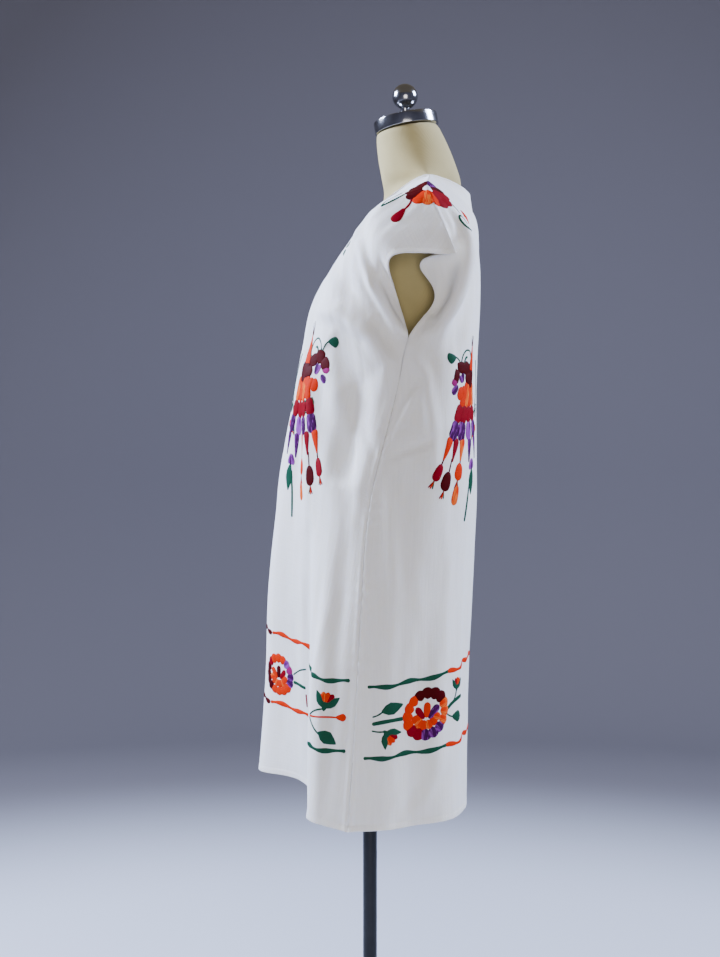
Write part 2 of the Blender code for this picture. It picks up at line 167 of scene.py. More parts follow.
FRONT_CREASES = (
    Crease("knot at the pinch", ((4.93, 0.366), (5.0, 0.372)), 6, 4.0, True),
    Crease("crest at the armhole", ((3.2, 0.130), (4, 0.165), (4.6, 0.190), (4.95, 0.205)), 13, 10.0, True),
    Crease("slope before the crest", ((2.4, 0.090), (3, 0.140), (3.6, 0.175), (4.3, 0.200)), 22, 3.0, True),
    Crease("hollow before the drag", ((2.3, 0.180), (2.9, 0.195), (3.5, 0.195),
                                      (4.1, 0.205)), 20, -4.0, True),
    Crease("drag to the side seam", ((1.9, 0.240), (3.2, 0.235), (4.1, 0.230), (4.6, 0.250),
                                     (4.9, 0.285)), 20, 9.5, True),
    Crease("hollow under the drag", ((2.9, 0.270), (3.8, 0.300), (3.9, 0.350),
                                     (3.9, 0.430)), 40, -13.0, True),
    Crease("hollow's lower end",
           ((3.90, 0.370), (4.20, 0.450), (4.35, 0.550), (4.40, 0.680)), 28, -4.0, True),
    Crease("ridge beside the seam", ((4.8, 0.230), (4.9, 0.280), (4.85, 0.330),
                                     (4.9, 0.360)), 11, 3.6, True),
    Crease("pull at the pinch", ((4.2, 0.345), (4.6, 0.360), (4.95, 0.370)), 10, -2.6, True),
    Crease("flap fold", ((2.90, 0.030), (3.10, 0.080), (3.20, 0.120)), 16, 2.0, True),
    Crease("strap hollow", ((2.40, 0.030), (2.60, 0.090), (2.70, 0.130)), 20, -2.4, True),
    Crease("below the bust", ((2.20, 0.300), (2.50, 0.400), (2.70, 0.520)), 28, 4.0, True),
    Crease("panel fold", ((2.90, 0.500), (2.60, 0.640), (2.50, 0.760), (2.40, 0.897)), 22, -4.5, True),
    Crease("panel fold edge", ((3.40, 0.520), (3.25, 0.660), (3.30, 0.780), (3.35, 0.897)), 20, 3.0, True),
    Crease("beside the seam", ((4.45, 0.560), (4.52, 0.700), (4.50, 0.895)), 15, -2.4, True),
    Crease("soft edge at the hem", ((3.90, 0.700), (4.00, 0.800), (3.90, 0.897)), 18, -1.8, True),
    Crease("left of the bust", ((1.2, 0.150), (1.5, 0.300), (1.6, 0.450)), 24, 2.0, False),
    Crease("right of the bust", ((-1.0, 0.140), (-1.5, 0.320), (-1.4, 0.480)), 26, 2.3, False),
    Crease("middle of the front", ((0.1, 0.160), (0.3, 0.400), (0.2, 0.640), (0.3, 0.890)), 30, 3.0, False),
    Crease("right of the middle",
           ((-0.8, 0.300), (-0.6, 0.500), (-0.9, 0.700), (-0.8, 0.890)), 28, -2.6, False),
)
BACK_CREASES = (
    Crease("knot at the pinch", ((4.93, 0.366), (5.0, 0.372)), 6, 4.0, True),
    Crease("ridge behind the armhole", ((3, 0.025), (3.7, 0.055), (3.9, 0.090), (3.7, 0.145),
                                        (4.1, 0.195), (4.5, 0.205)), 17, 7.5, True),
    Crease("inner hollow", ((4.4, 0.070), (4.6, 0.130), (4.75, 0.170)), 17, -4.5, True),
    Crease("cap fold", ((3.1, 0.010), (3.9, 0.020), (4.6, 0.035)), 10, 2.2, True),
    Crease("hollow behind the ridge", ((2.6, 0.090), (2.8, 0.170), (3.4, 0.225),
                                       (4.4, 0.250)), 22, -4.0, True),
    Crease("pull below the armhole", ((4.9, 0.215), (4.4, 0.260), (4.1, 0.340), (4, 0.420)), 18, 3.6, True),
    Crease("drag to the pinch", ((3.7, 0.350), (4.2, 0.360), (4.9, 0.370)), 14, -2.6, True),
    Crease("ridge to the pinch", ((4.5, 0.270), (4.7, 0.305), (4.9, 0.350)), 10, 2.6, True),
    Crease("below the pinch", ((4.9, 0.385), (4.7, 0.430), (4.5, 0.535), (4.4, 0.700)), 18, 2.6, True),
    Crease("back flute edge", ((3.2, 0.500), (3.3, 0.700), (3.5, 0.895)), 26, 3.0, True),
    Crease("behind the flute", ((2.2, 0.480), (2.2, 0.650), (2.4, 0.895)), 26, -2.8, True),
    Crease("lower flute", ((3.1, 0.800), (3.5, 0.850), (3.7, 0.897)), 18, 3.0, False),
    Crease("lower hollow", ((3.3, 0.830), (3.9, 0.870), (4.2, 0.898)), 14, -2.4, False),
    Crease("left of the middle", ((1.1, 0.100), (1.0, 0.350), (1.2, 0.600), (1.1, 0.890)), 26, 2.4, False),
    Crease("right of the middle", ((-1.0, 0.140), (-1.3, 0.400), (-1.2, 0.890)), 28, 2.6, False),
)

# Turned edges, in metres. Where the cloth lies double it stands up a little and its
# wall is thicker by the share TURN_THICKER, and its row of stitches lies in a groove
# just inside the fold.
HEM_TURN = 0.009
ARMHOLE_TURN = 0.008
NECK_TURN = 0.005
TURN_RISE = 0.00035
TURN_THICKER = 1.3
GROOVE_DEPTH = 0.00045
GROOVE_INSIDE = 0.001
GROOVE_HALF = 0.0012
NECK_GROOVE_HALF = 0.0010

# Seams, in metres. The front and the back stay this far apart where they are sewn.
SEAM_GAP = 0.00024
# The creases fade out over SEAM_CALM towards a sewn edge. At the shoulders and just under
# the armholes the two walls meet at a sharp angle, so that each gets thinner over its
# last SEAM_TAPER there, by up to the share SEAM_THINNER, and they cross less.
SEAM_CALM = 0.025
SEAM_TAPER = 0.008
SEAM_THINNER = 0.9
# Under the armhole the two walls lie almost flat on each other for FLAP_LENGTH of the
# side seam. The puckers start below it, and grow over FLAP_FADES.
FLAP_LENGTH = 0.075
FLAP_FADES = 0.02
# The folded allowance beside the side seam, the dip on the seam itself, and the puckers
ALLOWANCE_HEIGHT = 0.0011
ALLOWANCE_FROM_SEAM = 0.0045
ALLOWANCE_HALF = 0.0028
SEAM_DIP = 0.0003
SEAM_DIP_HALF = 0.0015
PUCKER_HEIGHT = 0.0011
PUCKER_LENGTH = 0.019
PUCKER_REACH = 0.013
# The pressed edge of the shoulder seam
SHOULDER_HEIGHT = 0.0003
SHOULDER_FROM_SEAM = 0.0030
SHOULDER_HALF = 0.0020

# The unevenness of the cloth: waves to a metre across and down, a shift of the
# pattern, and the height in metres
Crinkle = namedtuple("Crinkle", "across down shift height")
CRINKLES = (Crinkle(30, 7, 0.0, 0.0016), Crinkle(75, 16, 9.0, 0.0006))

# Running stitches, in metres
STITCH_LENGTH = 0.0026
STITCH_EVERY = 0.0036
STITCH_THICK = 0.00022
STITCH_LIFT = 0.00016
STITCH_SINK = 0.00012

# Embroidery. A motif is drawn in millimetres on a plane of its own: x away from the
# middle of the dress, y up the cloth, and angles in degrees from x towards y. It is
# laid on the cut at a column and a length down the cloth, turned and brought to size,
# and mirrored on the other half unless it stands in the middle.
Shape = namedtuple("Shape", "profile floss x y angle length width")
Fan = namedtuple("Fan", "profile flosses x y first last inner outer width")
Stem = namedtuple("Stem", "floss x y end_x end_y bow width")
Curl = namedtuple("Curl", "floss x y angle radius turns width")
Motif = namedtuple("Motif", "shapes column down turn size")
Border = namedtuple("Border", "floss start end down")

# How wide a shape is along its length, in shares of the width that it is given
PROFILES = {
    "petal": (0.55, 0.9, 1.0, 0.9),
    "block": (0.9, 1.0, 1.05, 1.1),
    "drop": (0.3, 0.7, 1.0, 1.0),
    "leaf": (0.14, 0.8, 1.0, 0.62, 0.1),
    "spike": (1.0, 0.9, 0.55, 0.14),
    "leg": (1.0, 0.8, 0.5, 0.2),
    "stem": (1.0, 0.85, 1.0, 0.85),
}
# A border is a straight line on the cut that swells and sways a little: half its width,
# its swell and its sway in millimetres, its waves to a column, and its steps in columns
BORDER_HALF = 3.0
BORDER_SWELL = 1.0
BORDER_SWAY = 1.6
BORDER_WAVES = 1.2
BORDER_STEP = 0.12

# Satin stitch, in metres: how far its rows are apart, half the least width, how high the
# narrowest shape stands, what width adds, how far its rows rise and drop in turn, how
# deep the edges sink, and the share by which the rows are uneven in length
ROW_STEP = 0.0009
LEAST_HALF = 0.0003
LEAST_RISE = 0.00040
RISE_WITH_WIDTH = 0.10
ROW_STAGGER = 0.00005
EDGE_SINK = 0.0002
FRAY = 0.035
# The points of a row of stitches, in shares of half its width
ACROSS_STITCH = (-1.0, -0.82, -0.42, 0.0, 0.42, 0.82, 1.0)


def polar(x, y, angle, reach):
    """The place at a distance and an angle from another one."""
    return x + reach * math.cos(math.radians(angle)), y + reach * math.sin(math.radians(angle))


def tulip(x, y, angle, size):
    """A small flower in its green cup."""
    return (
        Fan("petal", ("amber", "orange", "crimson"), x, y, angle + 17, angle - 17,
            0.34 * size, 0.86 * size, 0.28 * size),
        Fan("leaf", ("green", "green"), x, y, angle + 38, angle - 38,
            0.08 * size, 0.98 * size, 0.42 * size),
        Shape("drop", "green", *polar(x, y, angle, -0.1 * size), angle, 0.5 * size, 0.34 * size),
    )


def hanging_bud(floss, x, y, angle, stalk, length, width):
    """A closed bud that hangs on its stalk, with three stamens under it."""
    foot = polar(x, y, angle, stalk)
    tip = polar(x, y, angle, stalk + length)
    return (
        Shape("stem", "maroon", x, y, angle, stalk + 3, 3.4),
        Shape("petal", floss, *foot, angle, length, width),
        Fan("stem", ("green", "orange", "crimson"), *tip, angle - 20, angle + 20, -2, 14, 3.0),
    )


def ring_flower(radius, lobes, first, seeds):
    """A round flower: lobes side by side, a row of hearts inside and three petals that open from it."""
    flosses = [floss for floss, count in lobes for _ in range(count)]
    last = first + 360 * (len(flosses) - 1) / len(flosses)
    lobe_width = 7.6 * radius / len(flosses)
    return (
        Fan("block", ("amber", "orange") * 3, 0, 0, -160, -20, 0.24 * radius, 0.62 * radius, 0.32 * radius),
        Fan("petal", flosses, 0, 0, first, last, 0.56 * radius, 1.02 * radius, lobe_width),
        Fan("petal", seeds, 0, -0.3 * radius, 54, 130, 0.14 * radius, 0.74 * radius, 0.29 * radius),
    )


# A hanging flower with its buds, from the calyx down, and a small open flower beside it
BELL_X, BELL_Y = 0, 104
SPRAY = (
    Fan("spike", ("maroon", "maroon"), 0, 118, 82, 99, 6, 24, 3.0),
    Shape("spike", "orange", 0, 80, 91, 46, 17),
    Shape("petal", "maroon", -2, 50, 89, 40, 22),
    Fan("block", ("amber", "orange", "amber", "orange"), BELL_X, BELL_Y, -104, -74, 40, 82, 14),
    Fan("block", ("crimson",) * 4, BELL_X, BELL_Y, -104, -72, 78, 109, 19),
    Fan("block", ("violet", "lilac", "violet", "violet"), BELL_X, BELL_Y, -106, -72, 104, 138, 21),
    Fan("leg", ("violet", "violet"), BELL_X, BELL_Y, -107, -97, 134, 178, 17),
    Fan("leg", ("amber", "crimson", "orange"), BELL_X, BELL_Y, -86, -70, 132, 172, 17),
    *hanging_bud("crimson", *polar(BELL_X, BELL_Y, -70, 166), -70, 12, 30, 17),
    *hanging_bud("maroon", *polar(BELL_X, BELL_Y, -77, 166), -80, 22, 33, 22),
    *hanging_bud("orange", *polar(BELL_X, BELL_Y, -86, 166), -87, 8, 30, 21),
    Shape("petal", "amber", *polar(BELL_X, BELL_Y, -87, 212), -84, 34, 17),
    Fan("petal", ("lilac", "violet", "lilac"), *polar(BELL_X, BELL_Y, -101, 172), -122, -74, 1, 21, 11),
    Stem("green", *polar(BELL_X, BELL_Y, -101, 190), -30, -176, 3, 6.5),
    Shape("leaf", "green", -38, -84, -98, 46, 26),
    # The stem that holds it all, on the side of the dress's middle
    Stem("green", -24, 104, -36, 20, -6, 3.4),
    Stem("green", -36, 21, -26, -34, 3, 3.4),
    Curl("green", -36, 26, 128, 14, 1.3, 3.2),
    Stem("orange", -25, -32, -38, -18, 1, 3.6),
    Shape("drop", "orange", -35, -20, 150, 24, 13),
    # The open flower, with a leaf and a curl over it
    Fan("block", ("maroon",) * 4, 30, 72, 182, 26, 10, 31, 25),
    Fan("petal", ("violet", "lilac"), 27, 64, 84, 58, 2, 19, 10),
    Fan("petal", ("pink", "violet"), 30, 72, 2, -34, 13, 32, 14),
    Fan("petal", ("orange", "orange"), 28, 72, -112, -84, 12, 34, 17),
    Stem("green", 38, 98, 60, 116, 2, 3.2),
    Shape("drop", "green", 56, 114, 10, 24, 21),
    Curl("green", 38, 98, 80, 20, 1.3, 3.2),
    Curl("green", 30, 30, -34, 16, -1.2, 3.2),
)

# The flowers of the bands
OUTER_RING = ring_flower(36, (("orange", 4), ("maroon", 4), ("amber", 3), ("violet", 3), ("crimson", 2)),
                         -22, ("crimson", "orange", "violet"))
INNER_RING = ring_flower(31, (("violet", 1), ("pink", 1), ("lilac", 1), ("orange", 3), ("crimson", 1),
                              ("maroon", 4), ("orange", 4), ("violet", 1)),
                         4, ("crimson", "maroon", "orange"))
BACK_TWIGS = (
    Stem("green", 35, 0, 80, -2, 1, 6.2),
    Shape("leaf", "green", 68, 14, 168, 32, 18),
    Stem("green", 80, 8, 66, 14, 1, 2.6),
    Stem("green", 80, -11, 62, -14, 1, 2.6),
    *tulip(62, -14, -132, 26),
    Stem("green", -35, 0, -70, 10, -3, 6.0),
    Stem("green", -34, -6, -50, -14, 1, 2.6),
    Shape("drop", "green", -46, -13, 190, 20, 17),
    Stem("green", -46, 6, -54, 24, 2, 2.6),
    *tulip(-54, 21, 98, 20),
)
FRONT_TWIGS = (
    Stem("green", 31, -3, 62, -3, 0, 5.4),
    Stem("green", 31, 8, 64, 26, 2, 2.6),
    Stem("crimson", 62, -12, 64, -32, 0, 3.2),
)
BRANCH = (
    Stem("green", 0, 0, 26, 14, 3, 2.8),
    *tulip(25, 13, 78, 29),
    Stem("orange", 0, -1, 46, 3, 1, 2.8),
    Shape("drop", "orange", 42, 3, 4, 15, 11),
    Stem("green", 0, -2, 22, -25, -2, 2.8),
    Shape("leaf", "green", 18, -20, -30, 30, 19),
)

# The petals round the shoulder seam, half on the front and half on the back
SHOULDER_FRONT = (
    Fan("petal", ("maroon", "maroon", "maroon", "maroon", "orange", "amber"), 0, 0, -160, -12, 7, 33, 19),
    Stem("crimson", 12, -24, 30, -38, 2, 3.4),
    Shape("drop", "crimson", 27, -36, -40, 25, 14),
    Stem("green", -2, -32, 12, -66, 3, 3.0),
    Stem("green", -16, -36, 12, -66, -3, 3.0),
)
SHOULDER_BACK = (
    Fan("petal", ("orange", "crimson", "crimson", "crimson", "crimson", "maroon", "violet"),
        0, 0, -14, -166, 7, 32, 19),
    Shape("leaf", "orange", -4, -44, -70, 20, 8),
    Stem("green", 0, -30, 26, -54, -5, 3.2),
    Curl("green", 26, -54, -20, 13, 1.1, 3.2),
)
NECK_CURL = (Curl("green", 0, 0, 150, 8, -1.0, 2.8), Shape("leaf", "green", 2, -2, -30, 14, 8))

FRONT_SPRAYS = (Motif(SPRAY, 2.1, 0.365, 3, 0.80),)
BACK_SPRAYS = (Motif(SPRAY, 2.9, 0.350, 8, 0.80),)
FRONT_SHOULDERS = (Motif(SHOULDER_FRONT, 2.95, 0.0, 0, 1.15), Motif(NECK_CURL, 2.5, 0.160, 0, 1.0))
BACK_SHOULDERS = (Motif(SHOULDER_BACK, 2.95, 0.0, 0, 1.15),)
FRONT_BAND = (Motif(INNER_RING + FRONT_TWIGS, 1.40, 0.740, 0, 1.0), Motif(BRANCH, 3.9, 0.745, 0, 1.0))
BACK_BAND = (Motif(OUTER_RING + BACK_TWIGS, 3.55, 0.750, 0, 1.0), Motif(OUTER_RING, 0, 0.750, 0, 1.0))
FRONT_BORDERS = (
    Border("green", 4.85, 2.55, 0.690),
    Border("orange", 2.6, 1.1, 0.680),
    Border("maroon", 1.15, -0.12, 0.680),
    Border("green", 4.85, 2.55, 0.790),
    Border("orange", 2.6, 1.1, 0.785),
    Border("maroon", 1.15, -0.12, 0.785),
)
BACK_BORDERS = (
    Border("green", 4.8, 3.1, 0.700),
    Border("orange", 3.15, 0.9, 0.700),
    Border("maroon", 0.95, -0.12, 0.700),
    Border("green", 4.8, 3.1, 0.800),
    Border("orange", 3.15, 0.9, 0.800),
    Border("maroon", 0.95, -0.12, 0.800),
)

# Stand and form, in metres
NECK_TILT = math.radians(10.0)
CAP_RADIUS = 0.0482
CAP_HEIGHT = 0.017
CAP_CENTRE = (0.0, 0.0555, 1.3945)
FINIAL_RADIUS = 0.0191
FINIAL_STEM_RADIUS = 0.0065
FORM_BASE_Z = 0.770
FLANGE_RADIUS = 0.045
FLANGE_HEIGHT = 0.006
POLE_RADIUS = 0.0105
PLATE_RADIUS = 0.170
PLATE_HEIGHT = 0.006
PIECE_GAP = 0.0003

# The photograph's frame, where the camera stands, and the studio's sweep, in metres
PICTURE_HEIGHT_PX = 957
METRES_PER_PX = 0.0015
CAMERA_PLACE = (2.2, -0.015, 0.871)
SENSOR_HEIGHT_MM = 24.0
SWEEP_RADIUS = 3.6
SWEEP_HEIGHT = 3.2
SWEEP_COVE = 0.9
LIGHTS_AIM = (0.0, 0.0, 1.1)


# Curves and surfaces of the cut pieces

def smooth_curve(knots, points, where, corners=(), sharpness=0.0, arched=False):
    """Reads a smooth curve through points at uneven knots, bent sharply at its corners.

    An arched curve runs level into a corner from the side of the middle.
    """
    knots = np.asarray(knots, dtype=float)
    points = np.asarray(points, dtype=float)
    steps = np.diff(knots)[:, None]
    slopes = np.diff(points, axis=0) / steps
    tangents = np.empty_like(points)
    tangents[0] = slopes[0]
    tangents[-1] = slopes[-1]
    tangents[1:-1] = (slopes[:-1] * steps[1:] + slopes[1:] * steps[:-1]) / (steps[1:] + steps[:-1])
    index = min(max(int(np.searchsorted(knots, where, side="right")) - 1, 0), len(knots) - 2)
    leaving, arriving = tangents[index], tangents[index + 1]
    if knots[index] in corners:
        target = 0.0 if arched and knots[index] < 0 else slopes[index]
        leaving = leaving + (target - leaving) * sharpness
    if knots[index + 1] in corners:
        target = 0.0 if arched and knots[index + 1] > 0 else slopes[index]
        arriving = arriving + (target - arriving) * sharpness
    step = knots[index + 1] - knots[index]
    t = (where - knots[index]) / step
    start = (1 + 2 * t) * (1 - t) ** 2 * points[index] + t * (1 - t) ** 2 * step * leaving
    end = t * t * (3 - 2 * t) * points[index + 1] + t * t * (t - 1) * step * arriving
    return start + end


def curve_weights(knots, places, corners=(), sharpness=0.0, arched=False):
    """How much each knot counts at each of the places along a smooth curve."""
    single = np.eye(len(knots))
    return np.array([smooth_curve(knots, single, place, corners, sharpness, arched) for place in places])


def spread(counts, knots):
    """Places evenly spaced values between neighbouring knots, counts of them each."""
    values = [knots[0]]
    for count, low, high in zip(counts, knots[:-1], knots[1:]):
        values.extend(low + (high - low) * (i + 1) / count for i in range(count))
    return values


def level_points(level):
    """The points of a level from the right edge to the left one."""
    half = [np.array(point, dtype=float) for point in level[2:]]
    mirror = np.array((-1.0, 1.0, 1.0))
    return [point * mirror for point in half[:0:-1]] + half


def path_lengths(points):
    """How far each point of a path lies from its start, along the path."""
    return np.concatenate([[0.0], np.cumsum(np.linalg.norm(np.diff(points, axis=0), axis=1))])


def between(value, values):
    """Which step of rising values a value lies in, and how far along that step."""
    where = np.interp(value, values, np.arange(len(values)))
    index = min(int(where), len(values) - 2)
    return index, where - index


def unit(vectors):
    """Scales vectors to length one."""
    return vectors / np.maximum(np.linalg.norm(vectors, axis=-1, keepdims=True), 1e-12)


def grid_normals(grid, outward):
    """Normals of a grid of points; outward is 1 or -1 and turns them out."""
    return unit(np.cross(np.gradient(grid, axis=1), np.gradient(grid, axis=0))) * outward


def fold_heights(folds, columns, downs):
    """The height of the large folds over a whole cut piece."""
    column, down = np.meshgrid(columns, downs)
    total = np.zeros_like(column)
    for fold in folds:
        along = np.clip((down - fold.down_from) / (fold.down_to - fold.down_from), 0.0, 1.0)
        middle = fold.column_from + (fold.column_to - fold.column_from) * along
        off = np.minimum(np.abs(column - middle) / fold.reach, 1.0)
        half_wave = 0.5 if fold.down_to >= HEM_DOWN else 1.0
        lasting = np.sin(np.pi * along * half_wave)
        total += fold.height * lasting * (0.5 + 0.5 * np.cos(np.pi * off))
    return total


def arc_lengths(grid, axis):
    """The length of cloth along one axis of a grid, from its first row or column."""
    steps = np.linalg.norm(np.diff(grid, axis=axis), axis=2)
    first = np.zeros_like(np.take(steps, [0], axis=axis))
    return np.concatenate([first, np.cumsum(steps, axis=axis)], axis=axis)


class CutPiece:
    """The outer surface of a cut piece, and where places on the cut lie on it."""

    def __init__(self, levels, folds, outward):
        self.outward = outward
        # Columns and rows lie closer together along the edges, where the cloth is turned.
        # These steps and the width of the last column are in millimetres, the rows in metres.
        edge_steps = (1.5, 3.0, 4.5, 6.0, 8.0, 10.0)
        last_column_width = 65
        across = [count * FINER_ACROSS for count in FACES_ACROSS]
        columns = set(spread(across[::-1] + across, list(range(-5, 6))))
        for step in edge_steps:
            columns |= {5 - step / last_column_width, step / last_column_width - 5}
        downs = set(spread([count * FINER_DOWN for count in FACES_DOWN], [level.down for level in levels]))
        downs |= {0.0012, 0.0026, 0.0042, 0.0060}
        downs |= {HEM_DOWN - step for step in (0.0010, 0.0025, 0.0050, 0.0076, 0.0090, 0.0104, 0.0125)}
        self.columns = np.array(sorted(columns))
        self.downs = np.array(sorted(downs))
        knots = [level.down for level in levels]
        nets = np.array([level_points(level) for level in levels])
        stations = np.einsum("dk,kcx->dcx", curve_weights(knots, self.downs), nets)
        soft = np.einsum("jc,dcx->djx", curve_weights(range(-5, 6), self.columns), stations)
        bent = curve_weights(range(-5, 6), self.columns, NECK_CORNERS, 1.0)
        arch = curve_weights(range(-5, 6), self.columns, NECK_CORNERS, 1.0, arched=True)
        sharp = np.einsum("jc,dcx->djx", bent, stations)
        sharp[:, :, 2] = np.einsum("jc,dc->dj", arch, stations[:, :, 2])
        share = np.clip(1 - self.downs / NECK_CORNER_FADES, 0, 1)[:, None, None]
        grid = soft * (1 - share) + sharp * share
        heights = fold_heights(folds, self.columns, self.downs)
        self.grid = grid + grid_normals(grid, outward) * heights[:, :, None]
        self.measure()

    def measure(self):
        """Works out normals and lengths of cloth from the grid of points."""
        self.normals = grid_normals(self.grid, self.outward)
        lengths = arc_lengths(self.grid, 1)
        middle = len(self.columns) // 2
        self.across = lengths - lengths[:, middle:middle + 1]
        self.from_edge = np.minimum(lengths, lengths[:, -1:] - lengths)
        self.from_top = arc_lengths(self.grid, 0)
        self.from_hem = self.from_top[-1:] - self.from_top

    def seam_share(self, reach):
        """How near each point is to a sewn edge: 1 on it, 0 from a distance on."""
        strap = np.abs(self.columns)[None, :] >= NECK_CORNERS[1]
        top = np.where(strap, self.from_top, 1.0)
        side = np.where((self.downs >= ARMHOLE_FOOT)[:, None], self.from_edge, 1.0)
        return np.clip(1 - np.minimum(top, side) / reach, 0, 1)

    def place(self, column, down):
        """The point of the cloth at a column and a length from the shoulder."""
        j, s = between(column, self.columns)
        i, t = between(down, self.downs)
        corners = self.grid[i:i + 2, j:j + 2]
        top = corners[0, 0] * (1 - s) + corners[0, 1] * s
        low = corners[1, 0] * (1 - s) + corners[1, 1] * s
        return top * (1 - t) + low * t

    def beside(self, column, down, reach):
        """The point of the cloth at a length beside a column, measured along the cloth."""
        i, t = between(down, self.downs)
        row = self.across[i] * (1 - t) + self.across[i + 1] * t
        middle = np.interp(column, self.columns, row)
        return self.place(np.interp(middle + reach, row, self.columns), down)

    def raise_by(self, heights):
        """Moves every point out along its normal."""
        self.grid = self.grid + self.normals * heights[:, :, None]

    def press(self, creases, depth):
        """Presses the small creases into the cloth."""
        total = np.zeros(self.grid.shape[:2])
        for crease in creases:
            for side in (1, -1) if crease.twin else (1,):
                path = np.array([self.place(column * side, down) for column, down in crease.path])
                width = crease.width * MM
                near, along = path_distance(self.grid, path)
                shape = 0.5 + 0.5 * np.cos(np.pi * np.clip(near / width, 0, 1))
                ends = np.sin(np.pi * np.clip(along, 0.0, 1.0)) ** 0.6
                uneven = 1.0 if side == 1 else TWIN_SHARE
                total += crease.height * MM * depth * uneven * shape * ends
        return total

    def finish(self):
        """Makes the search tree that finds the nearest place on the cloth."""
        self.measure()
        rows, columns, _ = self.grid.shape
        self.faces = []
        for i in range(rows - 1):
            for j in range(columns - 1):
                a = i * columns + j
                self.faces.append((a, a + 1, a + columns + 1, a + columns))
        self.flat_normals = self.normals.reshape(-1, 3)
        points = [Vector(point) for point in self.grid.reshape(-1, 3)]
        self.tree = BVHTree.FromPolygons(points, self.faces)

    def nearest(self, point):
        """The nearest place on the cloth, and the way out of the cloth there."""
        spot, _, face, _ = self.tree.find_nearest(Vector(point))
        out = self.flat_normals[list(self.faces[face])].mean(axis=0)
        return np.array(spot), unit(out)


def path_distance(grid, path):
    """How far each point of a grid is from a path, and how far along the path it is."""
    best = np.full(grid.shape[:2], 1e9)
    along = np.zeros(grid.shape[:2])
    lengths = np.linalg.norm(np.diff(path, axis=0), axis=1)
    total = lengths.sum()
    walked = 0.0
    for start, end, length in zip(path[:-1], path[1:], lengths):
        way = (end - start) / length
        reach = np.clip((grid - start) @ way, 0, length)
        distance = np.linalg.norm(grid - start - reach[:, :, None] * way, axis=2)
        nearer = distance < best
        best = np.where(nearer, distance, best)
        along = np.where(nearer, (walked + reach) / total, along)
        walked += length
    return best, along


def crinkle(piece, seed):
    """The small unevenness of cotton that has hung for a while, longer down than across."""
    rows, columns, _ = piece.grid.shape
    heights = np.zeros((rows, columns))
    for i in range(rows):
        for j in range(columns):
            for wave in CRINKLES:
                spot = (piece.across[i, j] * wave.across, piece.downs[i] * wave.down, seed + wave.shift)
                heights[i, j] += noise.noise(Vector(spot)) * wave.height
    return heights


def hump(distance, centre, half):
    """A soft hump of height 1 at a distance from an edge."""
    return np.exp(-((distance - centre) / half) ** 2)


def seam_pucker(piece):
    """The ridge of the folded allowance beside a side seam, and its small puckers.

    Waves of lengths that don't divide each other keep both uneven down the seam.
    """
    edge = piece.from_edge
    down = np.broadcast_to(piece.downs[:, None], edge.shape)
    uneven = 0.55 + 0.30 * np.sin(down * 23.0 + 0.7) + 0.15 * np.sin(down * 71.0)
    ridge = ALLOWANCE_HEIGHT * uneven * hump(edge, ALLOWANCE_FROM_SEAM, ALLOWANCE_HALF)
    ridge = ridge - SEAM_DIP * hump(edge, 0.0, SEAM_DIP_HALF)
    wave = np.sin(down * 2 * np.pi / PUCKER_LENGTH + 1.3 * np.sin(down * 41.0))
    wave = wave * (0.6 + 0.4 * np.sin(down * 57.0 + 1.0))
    pucker = PUCKER_HEIGHT * wave * np.exp(-edge / PUCKER_REACH)
    starts = np.clip((down - ARMHOLE_FOOT - FLAP_LENGTH) / FLAP_FADES, 0, 1)
    return (ridge + pucker) * starts


def shoulder_ridge(piece):
    """The pressed edge of the shoulder seam."""
    strap = np.clip((np.abs(piece.columns) - NECK_CORNERS[1]) / 0.3, 0, 1)[None, :]
    return SHOULDER_HEIGHT * hump(piece.from_top, SHOULDER_FROM_SEAM, SHOULDER_HALF) * strap


def sewn_places(piece):
    """The grid places where the front and the back are sewn together."""
    rows, columns, _ = piece.grid.shape
    places = [(0, j) for j in range(columns) if abs(piece.columns[j]) >= NECK_CORNERS[1] - NEAR]
    for i in range(1, rows):
        if piece.downs[i] >= ARMHOLE_FOOT - NEAR:
            places += [(i, 0), (i, columns - 1)]
    return places


def make_cuts(depth):
    """The front and the back with their folds, creases and seams, sewn at their edges."""
    front = CutPiece(FRONT, FRONT_FOLDS, -1.0)
    back = CutPiece(BACK, BACK_FOLDS, 1.0)
    for piece, creases, seed in ((front, FRONT_CREASES, 3.0), (back, BACK_CREASES, 17.0)):
        free = 1 - piece.seam_share(SEAM_CALM)
        heights = (piece.press(creases, depth) + crinkle(piece, seed) * depth) * free
        piece.raise_by(heights + seam_pucker(piece) + shoulder_ridge(piece))
    places = sewn_places(front)
    for i, j in places:
        middle = (front.grid[i, j] + back.grid[i, j]) / 2
        front.grid[i, j] = middle
        back.grid[i, j] = middle
    for piece in (front, back):
        piece.measure()
    shared = [unit(front.normals[i, j] + back.normals[i, j]) for i, j in places]
    columns = len(front.columns)
    for piece in (front, back):
        moved = piece.grid.copy()
        for (i, j), out in zip(places, shared):
            inside = np.zeros(3)
            if i == 0:
                inside += unit(piece.grid[1, j] - piece.grid[0, j])
            if j in (0, columns - 1) and piece.downs[i] >= ARMHOLE_FOOT - NEAR:
                inside += unit(piece.grid[i, j + (1 if j == 0 else -1)] - piece.grid[i, j])
            inside -= out * np.dot(inside, out)
            moved[i, j] = piece.grid[i, j] + unit(inside) * SEAM_GAP / 2
        piece.grid = moved
        piece.finish()
        for (i, j), out in zip(places, shared):
            piece.normals[i, j] = out
    return front, back


def band(distance, width, soft=0.0008):
    """1 within a width of an edge and 0 beyond it, with a soft step."""
    return np.clip((width - distance) / soft + 0.5, 0, 1)


